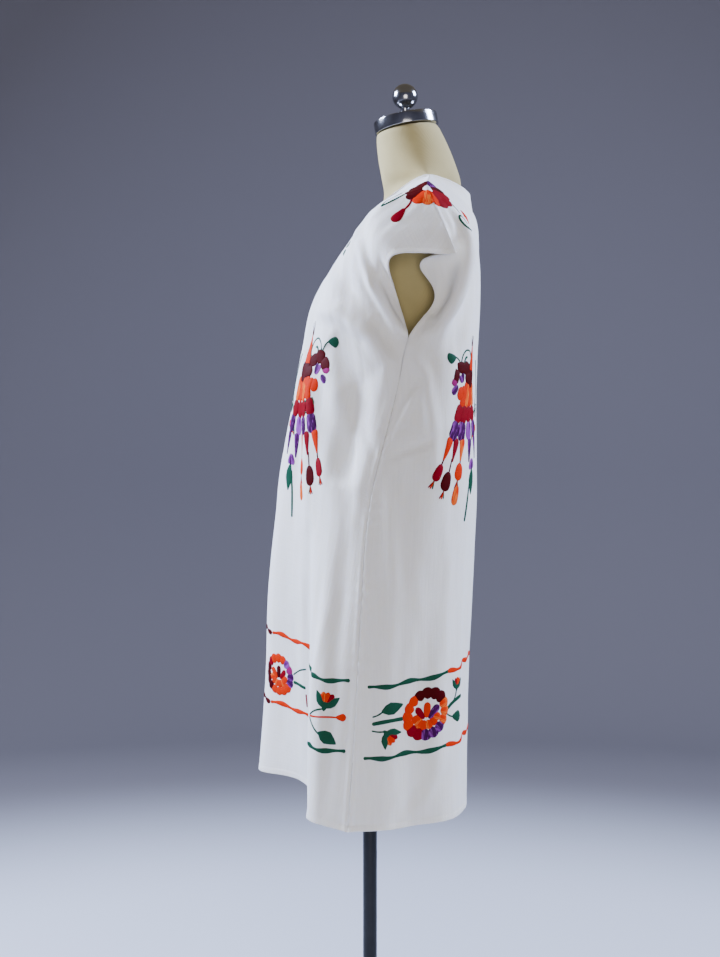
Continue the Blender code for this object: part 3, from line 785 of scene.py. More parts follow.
def turned_edges(piece):
    """Where the cloth is turned in and lies double: hem, armholes and neckline."""
    armhole = np.where((piece.downs < ARMHOLE_FOOT)[:, None], piece.from_edge, 1.0)
    neck = np.where((np.abs(piece.columns) <= NECK_CORNERS[1])[None, :], piece.from_top, 1.0)
    double = np.maximum(band(piece.from_hem, HEM_TURN), band(armhole, ARMHOLE_TURN))
    double = np.maximum(double, band(neck, NECK_TURN))
    groove = hump(piece.from_hem, HEM_TURN - GROOVE_INSIDE, GROOVE_HALF)
    groove = np.maximum(groove, hump(armhole, ARMHOLE_TURN - GROOVE_INSIDE, GROOVE_HALF))
    groove = np.maximum(groove, hump(neck, NECK_TURN - GROOVE_INSIDE, NECK_GROOVE_HALF))
    return double, groove


# Meshes

def new_piece(name, points, faces, uvs=None, uv_name="Cloth", indices=None, materials=()):
    """A mesh object at the origin from points and faces, with its UV map and materials."""
    mesh = bpy.data.meshes.new(name)
    mesh.from_pydata([tuple(point) for point in points], [], faces)
    if uvs is not None:
        layer = mesh.uv_layers.new(name=uv_name)
        loops = np.empty(len(mesh.loops), dtype=np.int32)
        mesh.loops.foreach_get("vertex_index", loops)
        layer.data.foreach_set("uv", np.asarray(uvs, dtype=np.float32)[loops].ravel())
    for material in materials:
        mesh.materials.append(material)
    if indices is not None:
        mesh.polygons.foreach_set("material_index", np.asarray(indices, dtype=np.int32))
    mesh.shade_smooth()
    mesh.update()
    piece = bpy.data.objects.new(name, mesh)
    bpy.context.scene.collection.objects.link(piece)
    return piece


def cloth_shell(name, piece, thickness, material):
    """A closed thin shell of cloth, double along its turned edges and thinner at its upper seams."""
    double, groove = turned_edges(piece)
    high = np.clip((ARMHOLE_FOOT + FLAP_LENGTH - piece.downs) / FLAP_FADES, 0, 1)[:, None]
    seam = piece.seam_share(SEAM_TAPER) * high
    raised = (TURN_RISE * double - GROOVE_DEPTH * groove) * (1 - seam)
    outer = piece.grid + piece.normals * raised[:, :, None]
    thick = thickness * (1 + TURN_THICKER * double) * (1 - SEAM_THINNER * seam)
    inner = piece.grid - piece.normals * thick[:, :, None]
    rows, columns, _ = outer.shape
    count = rows * columns
    points = np.concatenate([outer.reshape(-1, 3), inner.reshape(-1, 3)])
    flat = np.stack([piece.across, -np.broadcast_to(piece.downs[:, None], piece.across.shape)], axis=2)
    uvs = np.concatenate([flat.reshape(-1, 2), flat.reshape(-1, 2)])
    faces = []
    for face in piece.faces:
        faces.append(face)
        faces.append(tuple(index + count for index in face[::-1]))
    rim = list(range(columns))
    rim += [i * columns + columns - 1 for i in range(1, rows)]
    rim += [(rows - 1) * columns + j for j in range(columns - 2, -1, -1)]
    rim += [i * columns for i in range(rows - 2, 0, -1)]
    for start, end in zip(rim, rim[1:] + rim[:1]):
        faces.append((end, start, start + count, end + count))
    if piece.outward < 0:
        faces = [face[::-1] for face in faces]
    return new_piece(name, points, faces, uvs, "Cloth", None, (material,))


# Satin stitch

def strokes(shapes):
    """The stitched shapes of a motif, each with its floss, its spine and its half widths."""
    for shape in shapes:
        profile = PROFILES[getattr(shape, "profile", "stem")]
        half_widths = [share * shape.width / 2 for share in profile]
        if isinstance(shape, Fan):
            steps = np.linspace(shape.inner, shape.outer, 4)
            angles = np.linspace(shape.first, shape.last, len(shape.flosses))
            for floss, angle in zip(shape.flosses, angles):
                yield floss, [polar(shape.x, shape.y, angle, step) for step in steps], half_widths
        elif isinstance(shape, Shape):
            steps = np.linspace(0, shape.length, 4)
            yield shape.floss, [polar(shape.x, shape.y, shape.angle, step) for step in steps], half_widths
        elif isinstance(shape, Stem):
            ends = np.array(((shape.x, shape.y), (shape.end_x, shape.end_y)), dtype=float)
            across = unit(np.array((ends[0, 1] - ends[1, 1], ends[1, 0] - ends[0, 0])))
            spine = [ends[0] + (ends[1] - ends[0]) * share + across * shape.bow * math.sin(math.pi * share)
                     for share in np.linspace(0, 1, 5)]
            yield shape.floss, spine, half_widths
        else:
            # A curl winds in to a quarter of its radius and ends in a thicker point
            way = math.copysign(90, shape.turns)
            x, y = polar(shape.x, shape.y, shape.angle + way, shape.radius)
            spine = [polar(x, y, shape.angle - way + 360 * shape.turns * share,
                           shape.radius * (1 - 0.75 * share))
                     for share in np.linspace(0, 1, 12)]
            yield shape.floss, spine, [shape.width / 2] * 3 + [shape.width * 0.7]


class Stitchery:
    """Collects the satin stitched shapes of one motif into one mesh."""

    def __init__(self, flosses, rise):
        self.flosses = flosses
        self.rise = rise
        self.points = []
        self.faces = []
        self.uvs = []
        self.indices = []

    def satin(self, piece, floss, spine, half_widths):
        """Lays one satin stitched shape along a spine of points on the cloth."""
        spine = np.asarray(spine, dtype=float)
        chords = path_lengths(spine)
        length = chords[-1]
        count = max(int(length / ROW_STEP), 6)
        walk = np.linspace(0, length, count + 1)
        middle = np.array([smooth_curve(chords, spine, place) for place in walk])
        if len(half_widths) == len(spine):
            given = np.array(half_widths, dtype=float)[:, None]
            halves = np.array([smooth_curve(chords, given, place)[0] for place in walk])
        else:
            halves = np.interp(walk, np.linspace(0, length, len(half_widths)), half_widths)
        halves = np.maximum(halves * MM, LEAST_HALF)
        ends = np.minimum(walk, length - walk)
        # The ends are rounded over half the width, or over 0.12 to 0.4 of a short shape
        most = length * np.clip(0.9 - halves / length, 0.12, 0.4)
        round_by = np.minimum(np.maximum(halves, 0.0004), most)
        share = np.clip(ends / round_by, 0, 1)
        halves = halves * np.maximum(np.sqrt(1 - (1 - share) ** 2), 0.12)
        spots = [piece.nearest(point) for point in middle]
        middle = np.array([spot for spot, _ in spots])
        ways = unit(np.gradient(middle, axis=0))
        outs = np.array([out for _, out in spots])
        sides = unit(np.cross(outs, ways))
        self.lay(piece, floss, middle, sides * halves[:, None], walk, 0.55 + 0.45 * share)

    def lay(self, piece, floss, middle, reach, walk, fullness):
        """Lays rows of stitches, each across its middle by its reach to either side."""
        first = len(self.points)
        width = len(ACROSS_STITCH)
        for row, place in enumerate(walk):
            half = float(np.linalg.norm(reach[row]))
            twist = 1.0 if row % 2 else -1.0
            frayed = 1 + FRAY * twist * noise.noise(Vector((place * 900, first * 0.37, 0.5)))
            high = min(LEAST_RISE + RISE_WITH_WIDTH * half, self.rise) * fullness[row]
            for k in ACROSS_STITCH:
                spot, away = piece.nearest(middle[row] + reach[row] * k * frayed)
                lift = high * math.sqrt(1 - k * k) + ROW_STAGGER * twist if abs(k) < 1 else -EDGE_SINK
                self.points.append(spot + away * lift)
                self.uvs.append((k * half, place))
        self.close(first, len(walk), width, self.flosses.index(floss))

    def close(self, first, rows, width, index):
        """Joins the rows of a shape into a closed skin with a flat underside."""
        for row in range(rows - 1):
            low = first + row * width
            for k in range(width - 1):
                self.faces.append((low + k, low + k + 1, low + width + k + 1, low + width + k))
            self.faces.append((low + width - 1, low, low + width, low + 2 * width - 1))
        self.faces.append(tuple(first + k for k in range(width))[::-1])
        last = first + (rows - 1) * width
        self.faces.append(tuple(last + k for k in range(width)))
        added = (rows - 1) * width + 2
        self.indices += [index] * added

    def motif(self, piece, motif):
        """Lays a motif on the left half, and its mirror image on the right half."""
        cosine, sine = polar(0.0, 0.0, motif.turn, motif.size * MM)
        for side in (1, -1) if motif.column else (1,):
            for floss, spine, half_widths in strokes(motif.shapes):
                places = [piece.beside(motif.column * side, motif.down - (x * sine + y * cosine),
                                       (x * cosine - y * sine) * side) for x, y in spine]
                self.satin(piece, floss, places, [half * motif.size for half in half_widths])

    def border(self, piece, border):
        """Lays a border line on both halves."""
        for side in (1, -1):
            places = []
            half_widths = []
            for column in np.arange(border.start, border.end - 0.001, -BORDER_STEP):
                phase = math.tau * column * BORDER_WAVES
                sway = BORDER_SWAY * math.sin(phase) * MM
                places.append(piece.place(column * side, border.down + sway))
                half_widths.append(BORDER_HALF + BORDER_SWELL * math.sin(phase * 1.7 + 1))
            self.satin(piece, border.floss, places, half_widths)

    def piece(self, name, materials):
        """Makes the mesh object of the whole stitchery."""
        return new_piece(name, self.points, self.faces, self.uvs, "Stitch", self.indices,
                         [materials[floss] for floss in self.flosses])


def running_stitches(name, piece, material):
    """Small even stitches along the turned edges of a cut piece."""
    lines = []
    for side in (-1, 1):
        line = []
        for i in np.nonzero(piece.downs < ARMHOLE_FOOT)[0]:
            # One metre more keeps the other half of the row out of the choice
            off = np.abs(piece.from_edge[i] - ARMHOLE_TURN + GROOVE_INSIDE)
            j = int(np.argmin(off + (np.sign(piece.columns) != side)))
            line.append(piece.grid[i, j])
        lines.append(line)
    hem_row = int(np.argmin(np.abs(piece.downs - (HEM_DOWN - HEM_TURN + GROOVE_INSIDE))))
    lines.append(list(piece.grid[hem_row]))
    neck_row = int(np.argmin(np.abs(piece.downs - (NECK_TURN - GROOVE_INSIDE))))
    inside = np.abs(piece.columns) < NECK_CORNERS[1] + 0.01
    lines.append(list(piece.grid[neck_row][inside]))
    points = []
    faces = []
    for line in lines:
        line = np.array(line)
        walked = path_lengths(line)
        for start in np.arange(0.002, walked[-1] - STITCH_LENGTH, STITCH_EVERY):
            rings = []
            for share, size in ((0.0, 0.45), (0.25, 1.0), (0.75, 1.0), (1.0, 0.45)):
                at = start + STITCH_LENGTH * share
                spot = np.array([np.interp(at, walked, line[:, axis]) for axis in range(3)])
                ahead = np.array([np.interp(at + 0.0005, walked, line[:, axis]) for axis in range(3)])
                spot, out = piece.nearest(spot)
                side = unit(np.cross(out, ahead - spot))
                lift = STITCH_LIFT if 0 < share < 1 else -STITCH_SINK
                rings.append((spot + out * lift, out, side, STITCH_THICK * size))
            first = len(points)
            for spot, out, side, size in rings:
                points += [spot + side * size, spot + out * size, spot - side * size, spot - out * size]
            for ring in range(3):
                for k in range(4):
                    a, b = first + ring * 4 + k, first + ring * 4 + (k + 1) % 4
                    faces.append((a, b, b + 4, a + 4))
            faces.append((first + 3, first + 2, first + 1, first))
            faces.append((first + 12, first + 13, first + 14, first + 15))
    return new_piece(name, points, faces, None, "", None, (material,))


# Materials

def give(tree, node, values):
    """Gives a node's inputs their values, or links them to what another node puts out."""
    for key, value in values.items():
        socket = node.inputs[key]
        if isinstance(value, bpy.types.NodeSocket):
            tree.links.new(value, socket)
        else:
            socket.default_value = value


def add_node(tree, kind, values=None, **settings):
    """Adds a node with its settings and inputs."""
    node = tree.nodes.new(kind)
    for key, value in settings.items():
        setattr(node, key, value)
    give(tree, node, values or {})
    return node


def new_material(name, **values):
    """A material with one principled shader, its plain values given by input name."""
    material = bpy.data.materials.new(name)
    material.use_nodes = True
    tree = material.node_tree
    shader = tree.nodes["Principled BSDF"]
    give(tree, shader, {key.replace("_", " "): value for key, value in values.items()})
    return material, tree, shader


def soft_noise(tree, place, scale, detail, roughness=0.5, distortion=0.0):
    """Noise from 0 to 1. The scale is one number, or one for each axis."""
    if isinstance(scale, tuple):
        place = add_node(tree, "ShaderNodeMapping", {"Vector": place, "Scale": scale}).outputs["Vector"]
        scale = 1.0
    values = {"Vector": place, "Scale": scale, "Detail": detail, "Roughness": roughness,
              "Distortion": distortion}
    return add_node(tree, "ShaderNodeTexNoise", values).outputs["Fac"]


def stripes(tree, place, axis, scale, distortion):
    """Stripes across one axis, for threads and ribs."""
    values = {"Vector": place, "Scale": scale, "Distortion": distortion, "Detail": 1.0}
    return add_node(tree, "ShaderNodeTexWave", values, bands_direction=axis).outputs["Fac"]


def joined(tree, operation, first, second):
    """Two values added or multiplied."""
    return add_node(tree, "ShaderNodeMath", {0: first, 1: second}, operation=operation).outputs["Value"]


def stretched(tree, value, low, high, new_low=0.0, new_high=1.0, **settings):
    """Values between low and high, stretched to new ends."""
    values = {"Value": value, "From Min": low, "From Max": high, "To Min": new_low, "To Max": new_high}
    return add_node(tree, "ShaderNodeMapRange", values, **settings).outputs["Result"]


def relief(tree, height, strength, distance, under=None):
    """The normal of a fine relief in the shading, laid over another one where that is given."""
    values = {"Height": height, "Strength": strength, "Distance": distance}
    if under is not None:
        values["Normal"] = under
    return add_node(tree, "ShaderNodeBump", values).outputs["Normal"]


def ramp(tree, factor, stops):
    """A colour ramp with its stops, each a place from 0 to 1 and a linear colour."""
    node = add_node(tree, "ShaderNodeValToRGB", {"Fac": factor})
    elements = node.color_ramp.elements
    while len(elements) < len(stops):
        elements.new(0.5)
    for element, (place, colour) in zip(elements, stops):
        element.position = place
        element.color = (*colour, 1.0)
    return node.outputs["Color"]


def shade(colour, factor):
    """A darker or lighter tone of a linear colour."""
    return tuple(min(channel * factor, 1.0) for channel in colour)


def cotton_material(settings):
    """Plain woven cotton, washed soft: matt, with long slubs down the cloth and a fine weave."""
    # Light passes through such thin cloth and comes out cream in the folds
    material, tree, shader = new_material(
        "plain woven cotton", Roughness=0.92, Sheen_Weight=0.12, Sheen_Roughness=0.55,
        Specular_IOR_Level=0.25, Subsurface_Weight=0.3, Subsurface_Radius=(1.0, 0.85, 0.6),
        Subsurface_Scale=0.002)
    place = add_node(tree, "ShaderNodeUVMap", uv_map="Cloth").outputs["UV"]
    # The threads of such cotton are about 0.35 mm apart. They are drawn 1.1 to 1.2 mm
    # apart here, because a finer weave doesn't show at this distance.
    weave = joined(tree, "MULTIPLY", stripes(tree, place, "X", 285.0, 0.6),
                   stripes(tree, place, "Y", 260.0, 0.8))
    # Slubs are thicker threads, 2 to 3 mm apart and 60 to 90 mm long
    slub = soft_noise(tree, place, (420.0, 13.0, 1.0), 3.0, 0.55)
    cross = soft_noise(tree, place, (15.0, 330.0, 1.0), 2.0)
    # Soft creasing about 11 mm across and 40 mm long that washing leaves. The cloth's colour follows it as
    # painted shade, darker in its hollows and a little lighter on its crests.
    soft = soft_noise(tree, place, (90.0, 26.0, 1.0), 4.0, 0.6, 0.4)
    white = tuple(settings.cotton)
    tone = ramp(tree, slub, ((0.30, shade(white, 0.93)), (0.55, white), (0.75, shade(white, 1.03))))
    # Painted shade: darker where the soft creasing lies low, with a faint painted highlight where it rises
    painted_crease_shade = ramp(tree, soft, ((0.3, shade(white, 0.955)), (0.7, shade(white, 1.02))))
    mixed = add_node(tree, "ShaderNodeMix", {"Factor": 0.5, "A": tone, "B": painted_crease_shade}, data_type="RGBA")
    fine = relief(tree, weave, 0.22, 0.0004)
    threads = relief(tree, joined(tree, "ADD", slub, cross), 0.35, 0.0007, fine)
    washed = relief(tree, soft, 0.30, 0.0018, threads)
    give(tree, shader, {"Base Color": mixed.outputs[2], "Normal": washed})
    return material


def floss_material(name, stops, run=0.0):
    """Stranded cotton floss in satin stitch: silky, with fine threads lying across the shape.

    stops are the tones of the floss. For a solid floss they are its colour with painted shade
    and painted highlight, laid along the strands. Where run is given, the floss is dyed in lengths
    and its tones follow each other every so many metres along the shape.
    """
    material, tree, shader = new_material(name, Roughness=0.6, Specular_IOR_Level=0.05)
    place = add_node(tree, "ShaderNodeUVMap", uv_map="Stitch").outputs["UV"]
    # Strands about 0.6 mm wide run across a shape, or along it where the floss is dyed
    strand = soft_noise(tree, place, (1400.0, 60.0, 1.0) if run else (60.0, 1600.0, 1.0), 2.0, 0.6)
    # For a solid floss its tones follow the strands: painted shade where they lie low, painted highlight on
    # their tops
    factor = strand
    ends = (0.25, 0.75)
    if run:
        dye = soft_noise(tree, place, (1 / run, 0.16 / run, 1.0), 1.0, 0.4, 0.3)
        factor = stretched(tree, dye, 0.32, 0.68)
        ends = (0.0, 1.0)
    places = [float(stop) for stop in np.linspace(*ends, len(stops))]
    colour = ramp(tree, factor, list(zip(places, stops)))
    # Painted shade: the colour is darkened where the strands lie low, in the grooves between them
    strand_shade = stretched(tree, strand, 0.25, 0.6, 0.72, 1.0)
    strand_shaded_colour = add_node(tree, "ShaderNodeVectorMath", {0: colour, "Scale": strand_shade}, operation="SCALE")
    give(tree, shader, {"Base Color": strand_shaded_colour.outputs["Vector"],
                        "Normal": relief(tree, strand, 0.45, 0.0004)})
    return material


def floss_materials(settings):
    """All the flosses of the embroidery by name, solid colours and dyed ones."""
    orange, crimson, maroon, violet, lilac, peach, green, pink = (
        tuple(getattr(settings, name))
        for name in ("orange", "crimson", "maroon", "violet", "lilac", "peach", "green", "pink"))
    # A solid floss's darker and lighter tones are painted shade and painted highlight along its strands; a
    # dyed floss's tones are its dye
    return {
        "orange": floss_material("orange floss", (shade(orange, 0.86), orange, shade(orange, 1.1))),
        "amber": floss_material("dyed orange floss", (orange, shade(orange, 1.1), peach, orange, peach),
                                0.004),
        "crimson": floss_material("crimson floss", (shade(crimson, 0.85), crimson, shade(crimson, 1.15))),
        "maroon": floss_material("maroon floss", (shade(maroon, 0.8), maroon, shade(maroon, 1.2))),
        "violet": floss_material("dyed violet floss", (shade(violet, 0.45), violet, shade(violet, 0.7),
                                                       violet, lilac, violet), 0.003),
        "lilac": floss_material("dyed lilac floss", (violet, lilac, shade(lilac, 1.3), lilac), 0.005),
        "pink": floss_material("pink floss", (shade(pink, 0.9), pink)),
        "green": floss_material("leaf green floss", (shade(green, 0.85), green, shade(green, 1.12))),
    }


def jersey_material(settings):
    """Knitted polyester jersey stretched over a padded form: matt cream with fine ribs."""
    material, tree, shader = new_material("knitted jersey", Roughness=0.86, Sheen_Weight=0.2,
                                          Sheen_Roughness=0.5, Specular_IOR_Level=0.3)
    place = add_node(tree, "ShaderNodeTexCoord").outputs["Object"]
    # Ribs of the knit are about 0.8 mm apart, drawn at 1.6 mm so that they show
    knit = joined(tree, "ADD", stripes(tree, place, "X", 196.0, 0.5), stripes(tree, place, "Z", 240.0, 0.5))
    cream = tuple(settings.jersey)
    colour = ramp(tree, soft_noise(tree, place, 22.0, 4.0),
                  ((0.3, shade(cream, 0.90)), (0.6, cream), (0.8, shade(cream, 1.05))))
    give(tree, shader, {"Base Color": colour, "Normal": relief(tree, knit, 0.3, 0.0003)})
    return material


def steel_material(settings):
    """Polished steel, spun and buffed: mirror-like with faint turning lines and soft smears."""
    material, tree, shader = new_material("polished steel", Base_Color=(*settings.steel, 1.0), Metallic=1.0)
    place = add_node(tree, "ShaderNodeTexCoord").outputs["Object"]
    # Turning lines run round the piece, about 0.5 mm apart
    lines = soft_noise(tree, place, (20.0, 20.0, 2000.0), 2.0)
    smear = soft_noise(tree, place, 60.0, 5.0, 0.6)
    give(tree, shader, {"Roughness": stretched(tree, smear, 0.3, 0.7, 0.10, 0.20),
                        "Normal": relief(tree, lines, 0.06, 0.0002)})
    return material


def enamel_material(settings):
    """Black enamel sprayed on steel tube and plate: satin, with a faint orange peel and dust."""
    material, tree, shader = new_material("black enamel", Coat_Weight=0.1, Coat_Roughness=0.3,
                                          Specular_IOR_Level=0.25)
    place = add_node(tree, "ShaderNodeTexCoord").outputs["Object"]
    dust = soft_noise(tree, place, 45.0, 6.0, 0.65)
    peel = soft_noise(tree, place, 700.0, 1.0)
    black = tuple(settings.enamel)
    give(tree, shader, {"Base Color": ramp(tree, dust, ((0.45, black), (0.8, shade(black, 1.9)))),
                        "Roughness": stretched(tree, dust, 0.3, 0.7, 0.30, 0.45),
                        "Normal": relief(tree, peel, 0.08, 0.0002)})
    return material


def backdrop_material(settings):
    """Smooth studio paper: matt, pale on the floor and deeper up the wall."""
    material, tree, shader = new_material("studio paper", Roughness=0.95)
    place = add_node(tree, "ShaderNodeTexCoord").outputs["Object"]
    level = add_node(tree, "ShaderNodeVectorMath", {0: place, 1: (1.0, 1.0, 0.0)}, operation="MULTIPLY")
    away = add_node(tree, "ShaderNodeVectorMath", {0: level.outputs["Vector"]}, operation="LENGTH")
    share = stretched(tree, away.outputs["Value"], 0.9, 2.2, interpolation_type="SMOOTHSTEP")
    tone = ramp(tree, share, ((0.0, tuple(settings.floor)), (1.0, tuple(settings.wall))))
    give(tree, shader, {"Base Color": tone})
    return material


# Modelling by hand

def deselect():
    """Leaves edit mode and deselects every object."""
    if bpy.context.object and bpy.context.object.mode != "OBJECT":
        bpy.ops.object.mode_set(mode="OBJECT")
    bpy.ops.object.select_all(action="DESELECT")


def start_piece(name, material):
    """Names the primitive that was just added and gives it its material."""
    piece = bpy.context.object
    piece.name = name
    piece.data.name = name
    piece.data.materials.clear()
    piece.data.materials.append(material)
    return piece


def settle(piece, angle=35.0):
    """Puts a piece's place into its mesh and shades it smooth."""
    deselect()
    piece.select_set(True)
    bpy.context.view_layer.objects.active = piece
    bpy.ops.object.transform_apply(location=True, rotation=True, scale=True)
    bpy.ops.object.shade_smooth_by_angle(angle=math.radians(angle))
    deselect()


def bevel_edges(piece, width, segments):
    """Rounds the sharp edges of a piece with a bevel that is applied."""
    modifier = piece.modifiers.new("edge", "BEVEL")
    modifier.width = width
    modifier.segments = segments
    modifier.limit_method = "ANGLE"
    modifier.angle_limit = math.radians(50)
    bpy.ops.object.modifier_apply(modifier=modifier.name)


def select_faces(piece, test):
    """Selects, in edit mode, the faces whose centre and normal pass a test."""
    bpy.ops.object.mode_set(mode="OBJECT")
    for edge in piece.data.edges:
        edge.select = False
    for vertex in piece.data.vertices:
        vertex.select = False
    for face in piece.data.polygons:
        face.select = bool(test(face.center, face.normal))
    bpy.ops.object.mode_set(mode="EDIT")
    bpy.ops.mesh.select_mode(type="FACE")


def inset_end(piece, up, steps):
    """Insets the upper or lower end of a piece step by step, each with a width and a depth."""
    select_faces(piece, lambda centre, normal: normal.z * up > 0.9)
    for width, depth in steps:
        bpy.ops.mesh.inset(thickness=width, depth=depth)
    bpy.ops.object.mode_set(mode="OBJECT")


def keep(piece, node):
    """Lets a piece ride on the object and stand for its CAD node, which it hides."""
    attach(piece, "root")
    if node:
        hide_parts(node)


# Settings

def colour_setting(name, description, hex_colour):
    """A colour that a user can change, with its default as an sRGB hex value."""
    return FloatVectorProperty(name=name, description=description, subtype="COLOR",
                               default=linear(hex_colour), min=0.0, max=1.0)


class CaftanClothSettings(bpy.types.PropertyGroup):
    cotton: colour_setting("Cotton", "Colour of the woven cotton", "#fbf8ee")
    thickness: FloatProperty(name="Thickness", description="Thickness of one layer of cloth",
                             default=0.0009, min=0.0003, max=0.003, unit="LENGTH", precision=4)
    crease_depth: FloatProperty(name="Crease depth",
                                description="How deep the small creases are, 1 as in their table",
                                default=1.3, min=0.0, max=2.0, subtype="FACTOR")


class CaftanFlossSettings(bpy.types.PropertyGroup):
    orange: colour_setting("Orange", "Colour of the orange floss", "#d62c00")
    crimson: colour_setting("Crimson", "Colour of the crimson floss", "#860018")
    maroon: colour_setting("Maroon", "Colour of the maroon floss", "#4a0006")
    violet: colour_setting("Violet", "Dark tone of the dyed violet floss", "#480c50")
    lilac: colour_setting("Lilac", "Light tone of the dyed violet floss", "#8e40a0")
    pink: colour_setting("Pink", "Colour of the pink floss", "#96206a")
    peach: colour_setting("Peach", "Light tone of the dyed orange floss", "#f07c30")
    green: colour_setting("Green", "Colour of the leaf green floss", "#184f3a")
    rise: FloatProperty(name="Rise", description="How far the widest stitches stand up from the cloth",
                        default=0.0011, min=0.0002, max=0.003, unit="LENGTH", precision=4)


class CaftanStandSettings(bpy.types.PropertyGroup):
    jersey: colour_setting("Jersey", "Colour of the form's knitted cover", "#bdae78")
    steel: colour_setting("Steel", "Colour of the neck cap and the ball", "#a2a3a6")
    enamel: colour_setting("Enamel", "Colour of the pole and the plate", "#17181a")
    smoothing: IntProperty(name="Smoothing", description="Subdivisions of the form's surface", default=1,
                           min=0, max=2)


class CaftanStageSettings(bpy.types.PropertyGroup):
    floor: colour_setting("Floor", "Colour of the studio floor", "#c3c8d2")
    wall: colour_setting("Wall", "Colour of the studio wall", "#767378")
    room: FloatProperty(name="Room light", description="Strength of the even light of the room",
                        default=0.20, min=0.0, max=5.0)
    key: FloatProperty(name="Front light", description="Power of the soft light from the front",
                       default=215.0, min=0.0, max=500.0, unit="POWER")
    fill: FloatProperty(name="Back light", description="Power of the soft light from behind", default=118.0,
                        min=0.0, max=500.0, unit="POWER")
    near: FloatProperty(name="Camera light", description="Power of the soft light from beside the camera",
                        default=33.0, min=0.0, max=500.0, unit="POWER")


# Operators

CUTS = {}


def cuts():
    """The front and the back of the dress, made once."""
    if not CUTS:
        depth = bpy.context.scene.caftan_cloth.crease_depth
        CUTS["front"], CUTS["back"] = make_cuts(depth)
    return CUTS["front"], CUTS["back"]


class CAFTAN_OT_cloth(bpy.types.Operator):
    """Make the front and the back of the dress"""
    bl_idname = "caftan.add_cloth"
    bl_label = "Dress"

    def execute(self, context):
        settings = context.scene.caftan_cloth
        material = cotton_material(settings)
        front, back = cuts()
        for name, cut in (("front", front), ("back", back)):
            piece = cloth_shell(f"{name}_cloth", cut, settings.thickness, material)
            stitches = running_stitches(f"{name}_edge_stitches", cut, material)
            keep(piece, name)
            keep(stitches, None)
        return {"FINISHED"}


class CAFTAN_OT_embroidery(bpy.types.Operator):
    """Embroider the dress with satin stitched flowers, leaves and borders"""
    bl_idname = "caftan.add_embroidery"
    bl_label = "Embroidery"

    def execute(self, context):
        settings = context.scene.caftan_floss
        materials = floss_materials(settings)
        front, back = cuts()
        jobs = (
            ("front_sprays", front, FRONT_SPRAYS, ()),
            ("back_sprays", back, BACK_SPRAYS, ()),
            ("front_shoulder_petals", front, FRONT_SHOULDERS, ()),
            ("back_shoulder_petals", back, BACK_SHOULDERS, ()),
            ("front_flower_band", front, FRONT_BAND, FRONT_BORDERS),
            ("back_flower_band", back, BACK_BAND, BACK_BORDERS),
        )
        for name, cut, motifs, borders in jobs:
            work = Stitchery(list(materials), settings.rise)
            for motif in motifs:
                work.motif(cut, motif)
            for border in borders:
                work.border(cut, border)
            keep(work.piece(name, materials), None)
        return {"FINISHED"}


class CAFTAN_OT_form(bpy.types.Operator):
    """Make the padded form with its jersey cover"""
    bl_idname = "caftan.add_form"
    bl_label = "Form"

    def execute(self, context):
        settings = context.scene.caftan_stand
        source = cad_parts["form_torso"]
        piece = bpy.data.objects.new("form_cover", source.data.copy())
        context.scene.collection.objects.link(piece)
        deselect()
        piece.select_set(True)
        context.view_layer.objects.active = piece
        bpy.ops.object.mode_set(mode="EDIT")
        bpy.ops.mesh.select_all(action="SELECT")
        bpy.ops.mesh.remove_doubles(threshold=0.00005)
        bpy.ops.mesh.tris_convert_to_quads(face_threshold=math.radians(50),
                                           shape_threshold=math.radians(50))
        bpy.ops.object.mode_set(mode="OBJECT")
        modifier = piece.modifiers.new("smooth", "SUBSURF")
        modifier.levels = settings.smoothing
        modifier.render_levels = settings.smoothing
        bpy.ops.object.modifier_apply(modifier=modifier.name)
        piece.data.materials.clear()
        piece.data.materials.append(jersey_material(settings))
        settle(piece, 60.0)
        keep(piece, "form_torso")
        return {"FINISHED"}


class CAFTAN_OT_neck_cap(bpy.types.Operator):
    """Make the steel neck cap and the ball on it"""
    bl_idname = "caftan.add_neck_cap"
    bl_label = "Neck cap"

    def execute(self, context):
        steel = steel_material(context.scene.caftan_stand)
        axis = Vector((0.0, -math.sin(NECK_TILT), math.cos(NECK_TILT)))
        foot = Vector(CAP_CENTRE)
        deselect()
        bpy.ops.mesh.primitive_cylinder_add(
            vertices=96, radius=CAP_RADIUS, depth=CAP_HEIGHT, location=foot + axis * CAP_HEIGHT / 2,
            rotation=(NECK_TILT, 0.0, 0.0))
        cap = start_piece("neck_cap_steel", steel)
        inset_end(cap, 1, ((0.0035, 0.0), (0.0012, -0.0008), (0.0012, 0.0008)))
        bevel_edges(cap, 0.0011, 4)
        settle(cap)
        keep(cap, "neck_cap")
        low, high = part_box("neck_finial")
        centre_y = (low[1] + high[1]) / 2
        ball_z = high[2] - FINIAL_RADIUS
        deselect()
        bpy.ops.mesh.primitive_uv_sphere_add(
            segments=64, ring_count=32, radius=FINIAL_RADIUS, location=(0.0, centre_y, ball_z))
        ball = start_piece("neck_finial_steel", steel)
        # The lowest ring is drawn down and narrowed, and drawn down again as the stem
        join = -FINIAL_RADIUS * 0.93
        select_faces(ball, lambda centre, normal: centre.z < join)
        drop = ball_z - FINIAL_RADIUS - low[2]
        ring = math.sqrt(FINIAL_RADIUS ** 2 - join ** 2)
        narrow = FINIAL_STEM_RADIUS / ring
        bpy.ops.mesh.extrude_region_move(TRANSFORM_OT_translate={"value": (0.0, 0.0, -drop * 0.35)})
        bpy.ops.transform.resize(value=(narrow, narrow, 0.2),
                                 center_override=(0.0, centre_y, ball_z + join))
        bpy.ops.mesh.extrude_region_move(TRANSFORM_OT_translate={"value": (0.0, 0.0, -drop * 0.4)})
        bpy.ops.object.mode_set(mode="OBJECT")
        settle(ball)
        keep(ball, "neck_finial")
        return {"FINISHED"}


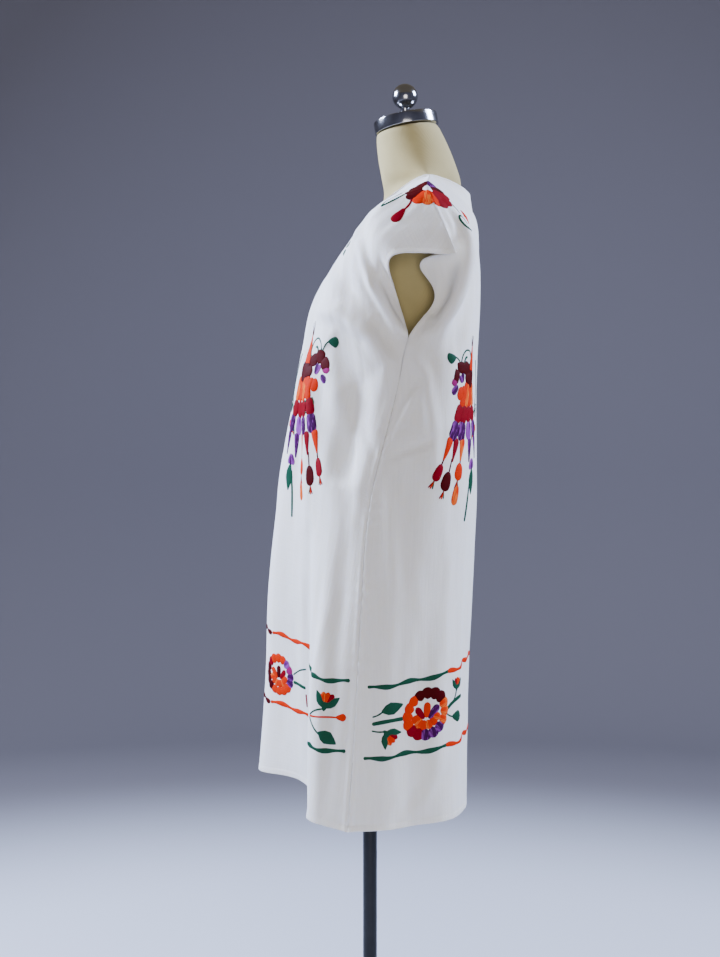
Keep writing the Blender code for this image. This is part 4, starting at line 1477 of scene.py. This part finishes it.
class CAFTAN_OT_stand(bpy.types.Operator):
    """Make the flange, the pole and the floor plate"""
    bl_idname = "caftan.add_stand"
    bl_label = "Stand"

    def execute(self, context):
        enamel = enamel_material(context.scene.caftan_stand)
        flange_top = FORM_BASE_Z - PIECE_GAP
        flange_foot = flange_top - FLANGE_HEIGHT
        # Each piece's sides, radius, foot and top, the end that is inset and how, and its rounding
        pieces = (
            ("flange", 64, FLANGE_RADIUS, flange_foot, flange_top, -1,
             ((FLANGE_RADIUS * 0.55, 0.0), (0.002, 0.0015)), 0.0010, 3),
            ("pole", 64, POLE_RADIUS, PLATE_HEIGHT + PIECE_GAP, flange_foot - PIECE_GAP, 1, (), 0.0008, 3),
            ("floor_plate", 128, PLATE_RADIUS, 0.0, PLATE_HEIGHT, 1,
             ((0.012, 0.0), (0.0012, -0.0008)), 0.0016, 4),
        )
        for node, sides, radius, foot, top, up, steps, round_by, segments in pieces:
            deselect()
            bpy.ops.mesh.primitive_cylinder_add(vertices=sides, radius=radius, depth=top - foot,
                                                location=(0, 0, (top + foot) / 2))
            piece = start_piece(f"{node}_enamel", enamel)
            inset_end(piece, up, steps)
            bevel_edges(piece, round_by, segments)
            settle(piece)
            keep(piece, node)
        return {"FINISHED"}


class CAFTAN_OT_stage(bpy.types.Operator):
    """Make the camera, the pale floor with its round sweep, and the soft studio lights"""
    bl_idname = "caftan.add_stage"
    bl_label = "Stage"

    def execute(self, context):
        settings = context.scene.caftan_stage
        camera_data = bpy.data.cameras.new("camera")
        camera_data.sensor_fit = "VERTICAL"
        camera_data.sensor_height = SENSOR_HEIGHT_MM
        view_height = PICTURE_HEIGHT_PX * METRES_PER_PX
        camera_data.lens = SENSOR_HEIGHT_MM * CAMERA_PLACE[0] / view_height
        camera = bpy.data.objects.new("camera", camera_data)
        camera.location = CAMERA_PLACE
        camera.rotation_euler = (math.radians(90), 0.0, math.radians(90))
        context.scene.collection.objects.link(camera)
        context.scene.camera = camera
        deselect()
        bpy.ops.mesh.primitive_circle_add(vertices=96, radius=SWEEP_RADIUS, fill_type="NGON",
                                          location=(0, 0, 0))
        sweep = start_piece("studio_sweep", backdrop_material(settings))
        select_faces(sweep, lambda centre, normal: True)
        bpy.ops.mesh.select_mode(type="EDGE")
        bpy.ops.mesh.extrude_region_move(TRANSFORM_OT_translate={"value": (0.0, 0.0, SWEEP_HEIGHT)})
        bpy.ops.mesh.select_mode(type="FACE")
        bpy.ops.mesh.delete(type="FACE")
        bpy.ops.object.mode_set(mode="OBJECT")
        for edge in sweep.data.edges:
            edge.select = all(sweep.data.vertices[index].co.z < 0.001 for index in edge.vertices)
        bpy.ops.object.mode_set(mode="EDIT")
        bpy.ops.mesh.select_mode(type="EDGE")
        bpy.ops.mesh.bevel(offset=SWEEP_COVE, segments=12, affect="EDGES")
        bpy.ops.object.mode_set(mode="OBJECT")
        settle(sweep, 60.0)
        world = bpy.data.worlds.new("studio air")
        world.use_nodes = True
        air = world.node_tree.nodes["Background"]
        air.inputs["Color"].default_value = (*linear("#fff0dc"), 1.0)
        air.inputs["Strength"].default_value = settings.room
        context.scene.world = world
        lamps = (
            ("front light", (-0.25, -1.9, 2.2), settings.key, 0.8, "#cfdcff"),
            ("back light", (-0.2, 1.9, 2.2), settings.fill, 0.8, "#cfdcff"),
            ("camera light", (2.8, 0.2, 0.9), settings.near, 1.4, "#fff6f0"),
        )
        for name, place, power, size, colour in lamps:
            lamp = bpy.data.lights.new(name, "AREA")
            lamp.energy = power
            lamp.size = size
            lamp.color = linear(colour)
            holder = bpy.data.objects.new(name, lamp)
            holder.location = place
            aim = Vector(LIGHTS_AIM) - Vector(place)
            holder.rotation_euler = aim.to_track_quat("-Z", "Y").to_euler()
            context.scene.collection.objects.link(holder)
        return {"FINISHED"}


class CAFTAN_PT_panel(bpy.types.Panel):
    """Lists the pieces of the dress, its form and their settings"""
    bl_idname = "CAFTAN_PT_panel"
    bl_label = "Caftan dress"
    bl_space_type = "VIEW_3D"
    bl_region_type = "UI"
    bl_category = SIDEBAR

    def draw(self, context):
        for group in GROUPS:
            box = self.layout.box()
            settings = getattr(context.scene, group)
            for key in settings.__annotations__:
                box.prop(settings, key)
        for operator in OPERATORS:
            self.layout.operator(operator.bl_idname)


GROUPS = {
    "caftan_stage": CaftanStageSettings,
    "caftan_cloth": CaftanClothSettings,
    "caftan_floss": CaftanFlossSettings,
    "caftan_stand": CaftanStandSettings,
}
OPERATORS = (
    CAFTAN_OT_stage, CAFTAN_OT_cloth, CAFTAN_OT_embroidery, CAFTAN_OT_form, CAFTAN_OT_neck_cap,
    CAFTAN_OT_stand,
)


def register():
    """Registers the settings, the operators and the panel."""
    for name, group in GROUPS.items():
        bpy.utils.register_class(group)
        setattr(bpy.types.Scene, name, PointerProperty(type=group))
    for item in (*OPERATORS, CAFTAN_PT_panel):
        bpy.utils.register_class(item)


def unregister():
    """Removes what register added."""
    for item in (CAFTAN_PT_panel, *OPERATORS[::-1]):
        bpy.utils.unregister_class(item)
    for name, group in GROUPS.items():
        delattr(bpy.types.Scene, name)
        bpy.utils.unregister_class(group)


def main():
    """Builds the whole scene."""
    register()
    bpy.ops.caftan.add_stage()
    bpy.ops.caftan.add_cloth()
    bpy.ops.caftan.add_embroidery()
    bpy.ops.caftan.add_form()
    bpy.ops.caftan.add_neck_cap()
    bpy.ops.caftan.add_stand()


if __name__ == "__main__":
    main()
